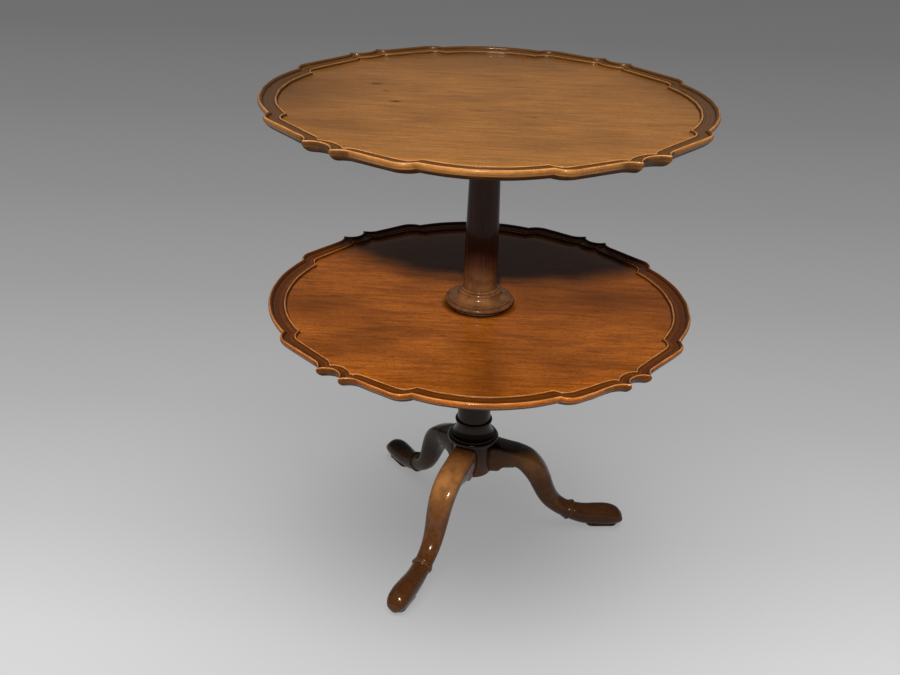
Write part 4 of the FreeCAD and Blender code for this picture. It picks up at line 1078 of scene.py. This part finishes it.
class TABLE_OT_legs(bpy.types.Operator):
    """Carve and polish the three cabriole legs"""
    bl_idname = "table.legs"
    bl_label = "Cabriole legs"

    def execute(self, context):
        sizes, colours = context.scene.table_legs, context.scene.table_finishes
        rings = leg_rings()
        pads, middle = pad_rings()
        joined = bmesh.new()
        joined.from_mesh(skin("carved_leg", rings, tuple(rings[0].mean(0)),
                              tuple(rings[-1].mean(0))))
        joined.from_mesh(skin("leg_pad", pads, (middle, 0, 0), (middle, 0, pads[-1][0][2])))
        mesh = bpy.data.meshes.new("carved_leg_and_pad")
        joined.to_mesh(mesh)
        joined.free()
        weather(mesh, spread=3, wear_at=900, grime_at=330)
        toe = rings[-1][0][0]
        mark_foot(mesh, toe * LEG_STATIONS[ANKLE_STATION][0], toe)
        # Painted highlight, with some wear, on the knee's top
        rub_and_highlight(mesh, KNEE, reach=38 * MILLIMETRE, share=0.95)
        along = (0, math.atan2(sizes.crown, sizes.reach), 0)
        # The right and back legs take darker colours as painted shade, the front leg paler ones as
        # painted light
        shaded_board = mahogany("leg_mahogany_painted_shade", colours.shaded_legs_light, colours.shaded_legs_dark, 0.14, along,
                         wear_and_highlight_amount=0.16, gloss=0.1, softness=0.12, sheen=0.25)
        lit_board = mahogany("leg_mahogany_painted_light", colours.lit_front_leg_light,
                               colours.lit_front_leg_dark, 0.16, along, wear_and_highlight_amount=0.42, gloss=0.2,
                               seed=0.4, softness=0.03, sheen=0.3)
        for number, (place, finish) in enumerate((
                ("right", shaded_board), ("back", shaded_board), ("front", lit_board))):
            item = piece("carved_leg_" + place, mesh.copy(), "stem", finish,
                         ["leg_" + place])
            item.parent = None
            item.matrix_world = Matrix.Rotation(sizes.azimuth + number * math.tau / 3, 4, "Z")
            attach(item, "stem")
        return {"FINISHED"}


# Blocks, washers and metalwork


def dress(finish, *nodes):
    """Give CAD nodes that stay their finish."""
    for node in nodes:
        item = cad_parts[node]
        item.data.materials.clear()
        item.data.materials.append(finish)


class TABLE_OT_blocks(bpy.types.Operator):
    """Finish the two bearing blocks under the tiers"""
    bl_idname = "table.blocks"
    bl_label = "Bearing blocks"

    def execute(self, context):
        colours = context.scene.table_finishes
        dress(mahogany("block_mahogany_dull", colours.shaded_legs_dark, colours.stem_dark, 0.42),
              "lower_block", "upper_block")
        return {"FINISHED"}


class TABLE_OT_washers(bpy.types.Operator):
    """Finish the leather washers"""
    bl_idname = "table.washers"
    bl_label = "Leather washers"

    def execute(self, context):
        colour = context.scene.table_finishes.leather
        hide = Finish("washer_leather")
        grain = hide.noise(hide.place(PITS), 4.0)
        patches = hide.noise(hide.place((80, 80, 80)), 2.0)
        hide.connect("Base Color", hide.blend(hide.spread(patches, 0.3, 0.7), solid(colour),
                                              darker(colour, 0.5)))
        hide.connect("Roughness", hide.spread(grain, 0.2, 0.8, 0.55, 0.8))
        hide.bump(grain, 0.5, 0.2 * MILLIMETRE)
        dress(hide.material, "lower_washer", "seat_washer", "upper_washer")
        return {"FINISHED"}


def metal(name, colour, roughness, pitting):
    """Old metal with stains, pits and a little rust brown."""
    finish = Finish(name, Metallic=1.0)
    blotch = finish.noise(finish.place((120, 120, 120)), 4.0)
    pits = finish.noise(finish.place(PITS), 3.0)
    rusty = solid([channel * share for channel, share in zip(colour, RUST_SHARES)])
    finish.connect("Base Color", finish.blend(finish.spread(blotch, 0.40, 0.75), solid(colour),
                                              rusty))
    finish.connect("Roughness", finish.spread(blotch, 0.3, 0.8, roughness, roughness + 0.25))
    finish.bump(pits, pitting, 0.3 * MILLIMETRE)
    return finish.material


class TABLE_OT_metalwork(bpy.types.Operator):
    """Finish the iron plate and the screws"""
    bl_idname = "table.metalwork"
    bl_label = "Iron plate and screws"

    def execute(self, context):
        colours = context.scene.table_finishes
        dress(metal("forged_iron_plate", colours.iron, 0.5, 0.8), "spider_plate")
        dress(metal("screw_steel_old", colours.steel, 0.35, 0.3), "spider_leg_screws",
              "spider_pillar_screw", "lower_block_screws", "upper_block_screws")
        dress(metal("keeper_brass", colours.brass, 0.25, 0.2), "keeper_screw")
        return {"FINISHED"}


# Stage

SENSOR_WIDTH, SENSOR_HEIGHT = 36, 27
FLOOR_RADII, FLOOR_SIDES, FLOOR_PAINT = (0.5, 1, 2, 4, 8, 16, 30), 96, (110, 110, 110)
RAMP_START, RAMP_END = -0.8, 5.6
RAMP_STOPS = (0.04, 0.08, 0.12, 0.18, 0.26, 0.36, 0.5, 0.7)
KEY_PLACE, KEY_AIM, KEY_SIZE = (-0.22, -2.85, 2.72), (0, 0, 0.5), 0.26
KEY_TINT = (1.0, 0.97, 0.93)
TOP_PLACE, TOP_AIM, TOP_SIZE = (0, 0.1, 3.0), (0, 0, 0), 1.8
SUN_SPREAD = math.radians(60)


def lamp(name, place, target, power, size, tint=(1.0, 1.0, 1.0)):
    """A soft square lamp that looks at a point."""
    light = bpy.data.lights.new(name, "AREA")
    light.shape, light.size, light.energy, light.color = "SQUARE", size, power, tint
    item = link(bpy.data.objects.new(name, light))
    item.location = place
    aim = Vector(target) - Vector(place)
    item.rotation_euler = aim.to_track_quat("-Z", "Y").to_euler()
    return item


def floor_grey(sizes, along):
    """The floor's grey at a place along Y, so that it changes evenly down the picture."""
    tilt = math.tan(sizes.camera_pitch)
    fall = sizes.camera_height / (along + sizes.camera_back)
    share = 0.5 + sizes.lens / SENSOR_HEIGHT * (fall - tilt) / (1 + fall * tilt)
    near, far = sizes.floor_near_grey, sizes.floor_far_grey
    return tone(*[far + (near - far) * min(max(share, 0.0), 1.0)] * 3)


def stage_floor(sizes):
    """A wide round floor that the camera and the polish see in an even grey.

    Most of that grey is the floor's own; the rest is lit, and takes the table's shadow."""
    angles = np.linspace(0, math.tau, FLOOR_SIDES, endpoint=False)
    around = np.column_stack([np.cos(angles), np.sin(angles), np.zeros(FLOOR_SIDES)])
    mesh = skin("stage_floor", [around * radius for radius in FLOOR_RADII], (0, 0, 0))
    floor = link(bpy.data.objects.new("stage_floor", mesh))
    finish = Finish("stage_floor_paint", Roughness=1.0, Specular_IOR_Level=0.0,
                    Base_Color=solid(tone(*FLOOR_PAINT)))
    along = finish.add("ShaderNodeSeparateXYZ", {"Vector": finish.spots()}).outputs["Y"]
    share = finish.add("ShaderNodeMapRange", {
        "Value": along, "From Min": RAMP_START, "From Max": RAMP_END}).outputs["Result"]
    ramp = finish.add("ShaderNodeValToRGB", {"Fac": share})
    stops, grey = ramp.color_ramp.elements, ramp.outputs["Color"]
    for place in RAMP_STOPS:
        stops.new(place)
    for stop in stops:
        along = RAMP_START + (RAMP_END - RAMP_START) * stop.position
        stop.color = solid(floor_grey(sizes, along))
    own = finish.add("ShaderNodeEmission", {"Color": grey, "Strength": 1.0}).outputs[0]
    lit = finish.add("ShaderNodeBsdfDiffuse", {"Color": grey}).outputs[0]
    shown = finish.mixed(sizes.shadow_share, own, lit)
    finish.put(finish.tree.nodes["Material Output"].inputs["Surface"],
               finish.mixed(finish.seen(), finish.shader.outputs["BSDF"], shown))
    mesh.materials.append(finish.material)
    return floor


def stage_world(sizes):
    """Plain light from all round, and a grey backdrop for the camera and the polish."""
    world = bpy.data.worlds.new("stage_world")
    world.use_nodes = True
    nodes = Nodes(world.node_tree)
    background = nodes.tree.nodes["Background"]
    background.inputs["Color"].default_value = (1, 1, 1, 1)
    background.inputs["Strength"].default_value = sizes.ambient
    backdrop = nodes.add("ShaderNodeBackground", {
        "Color": solid(tone(*[sizes.floor_far_grey] * 3))})
    nodes.put(nodes.tree.nodes["World Output"].inputs["Surface"],
              nodes.mixed(nodes.seen(), background.outputs[0], backdrop.outputs[0]))
    return world


def lit_only(item, receivers):
    """Let a lamp light only some of the objects."""
    lit = bpy.data.collections.new("lit_by_" + item.name)
    for receiver in receivers:
        lit.objects.link(receiver)
    item.light_linking.receiver_collection = lit


def stage_camera(sizes):
    """The photograph's viewpoint."""
    pitch, yaw, roll = sizes.camera_pitch, sizes.camera_yaw, sizes.camera_roll
    ahead = Vector((math.sin(yaw) * math.cos(pitch), math.cos(yaw) * math.cos(pitch),
                    -math.sin(pitch)))
    right = Vector((math.cos(yaw), -math.sin(yaw), 0))
    above = right.cross(ahead)
    rolled_right = right * math.cos(roll) + above * math.sin(roll)
    rolled_above = above * math.cos(roll) - right * math.sin(roll)
    camera = bpy.data.cameras.new("stage_camera")
    camera.sensor_width, camera.lens = SENSOR_WIDTH, sizes.lens
    item = link(bpy.data.objects.new("stage_camera", camera))
    turned = Matrix((rolled_right, rolled_above, -ahead)).transposed().to_4x4()
    item.matrix_world = Matrix.Translation((0, -sizes.camera_back, sizes.camera_height)) @ turned
    bpy.context.scene.camera = item


class TABLE_OT_stage(bpy.types.Operator):
    """Lay the floor, hang the lamps and set up the camera"""
    bl_idname = "table.stage"
    bl_label = "Stage"

    def execute(self, context):
        scene, sizes = context.scene, context.scene.table_stage
        floor = stage_floor(sizes)
        stage_camera(sizes)
        table = [item for item in scene.objects if item.type == "MESH" and item is not floor]
        lit_only(lamp("stage_key", KEY_PLACE, KEY_AIM, sizes.key_power, KEY_SIZE, KEY_TINT),
                 table)
        lit_only(lamp("stage_top", TOP_PLACE, TOP_AIM, sizes.top_power, TOP_SIZE), table)
        sun = bpy.data.lights.new("stage_overhead", "SUN")
        sun.energy, sun.angle = math.pi, SUN_SPREAD
        lit_only(link(bpy.data.objects.new("stage_overhead", sun)), [floor])
        scene.world = stage_world(sizes)
        scene.view_settings.view_transform = "Standard"
        return {"FINISHED"}


GROUPS = {
    "table_tiers": TierSizes, "table_stem": StemSizes, "table_legs": LegSizes,
    "table_finishes": Finishes, "table_stage": StageSizes,
}
OPERATORS = [
    TABLE_OT_upper_tier, TABLE_OT_lower_tier, TABLE_OT_column, TABLE_OT_pillar, TABLE_OT_legs,
    TABLE_OT_blocks, TABLE_OT_washers, TABLE_OT_metalwork, TABLE_OT_stage,
]


class TABLE_PT_panel(bpy.types.Panel):
    """Sizes, finishes and pieces of the table"""
    bl_idname = "TABLE_PT_panel"
    bl_label = "Dumbwaiter table"
    bl_space_type = "VIEW_3D"
    bl_region_type = "UI"
    bl_category = "Table"

    def draw(self, context):
        for name in GROUPS:
            box = self.layout.box()
            box.label(text=name.split("_")[1].title())
            group = getattr(context.scene, name)
            for field in group.__annotations__:
                box.prop(group, field)
        for operator in OPERATORS:
            self.layout.operator(operator.bl_idname)


def register():
    for kind in (*GROUPS.values(), *OPERATORS, TABLE_PT_panel):
        bpy.utils.register_class(kind)
    for name, kind in GROUPS.items():
        setattr(bpy.types.Scene, name, PointerProperty(type=kind))


def unregister():
    for name in GROUPS:
        delattr(bpy.types.Scene, name)
    for kind in reversed((*GROUPS.values(), *OPERATORS, TABLE_PT_panel)):
        bpy.utils.unregister_class(kind)


def main():
    """Make every piece in order."""
    register()
    for operator in OPERATORS:
        getattr(bpy.ops.table, operator.bl_idname.split(".")[1])()


if __name__ == "__main__":
    main()
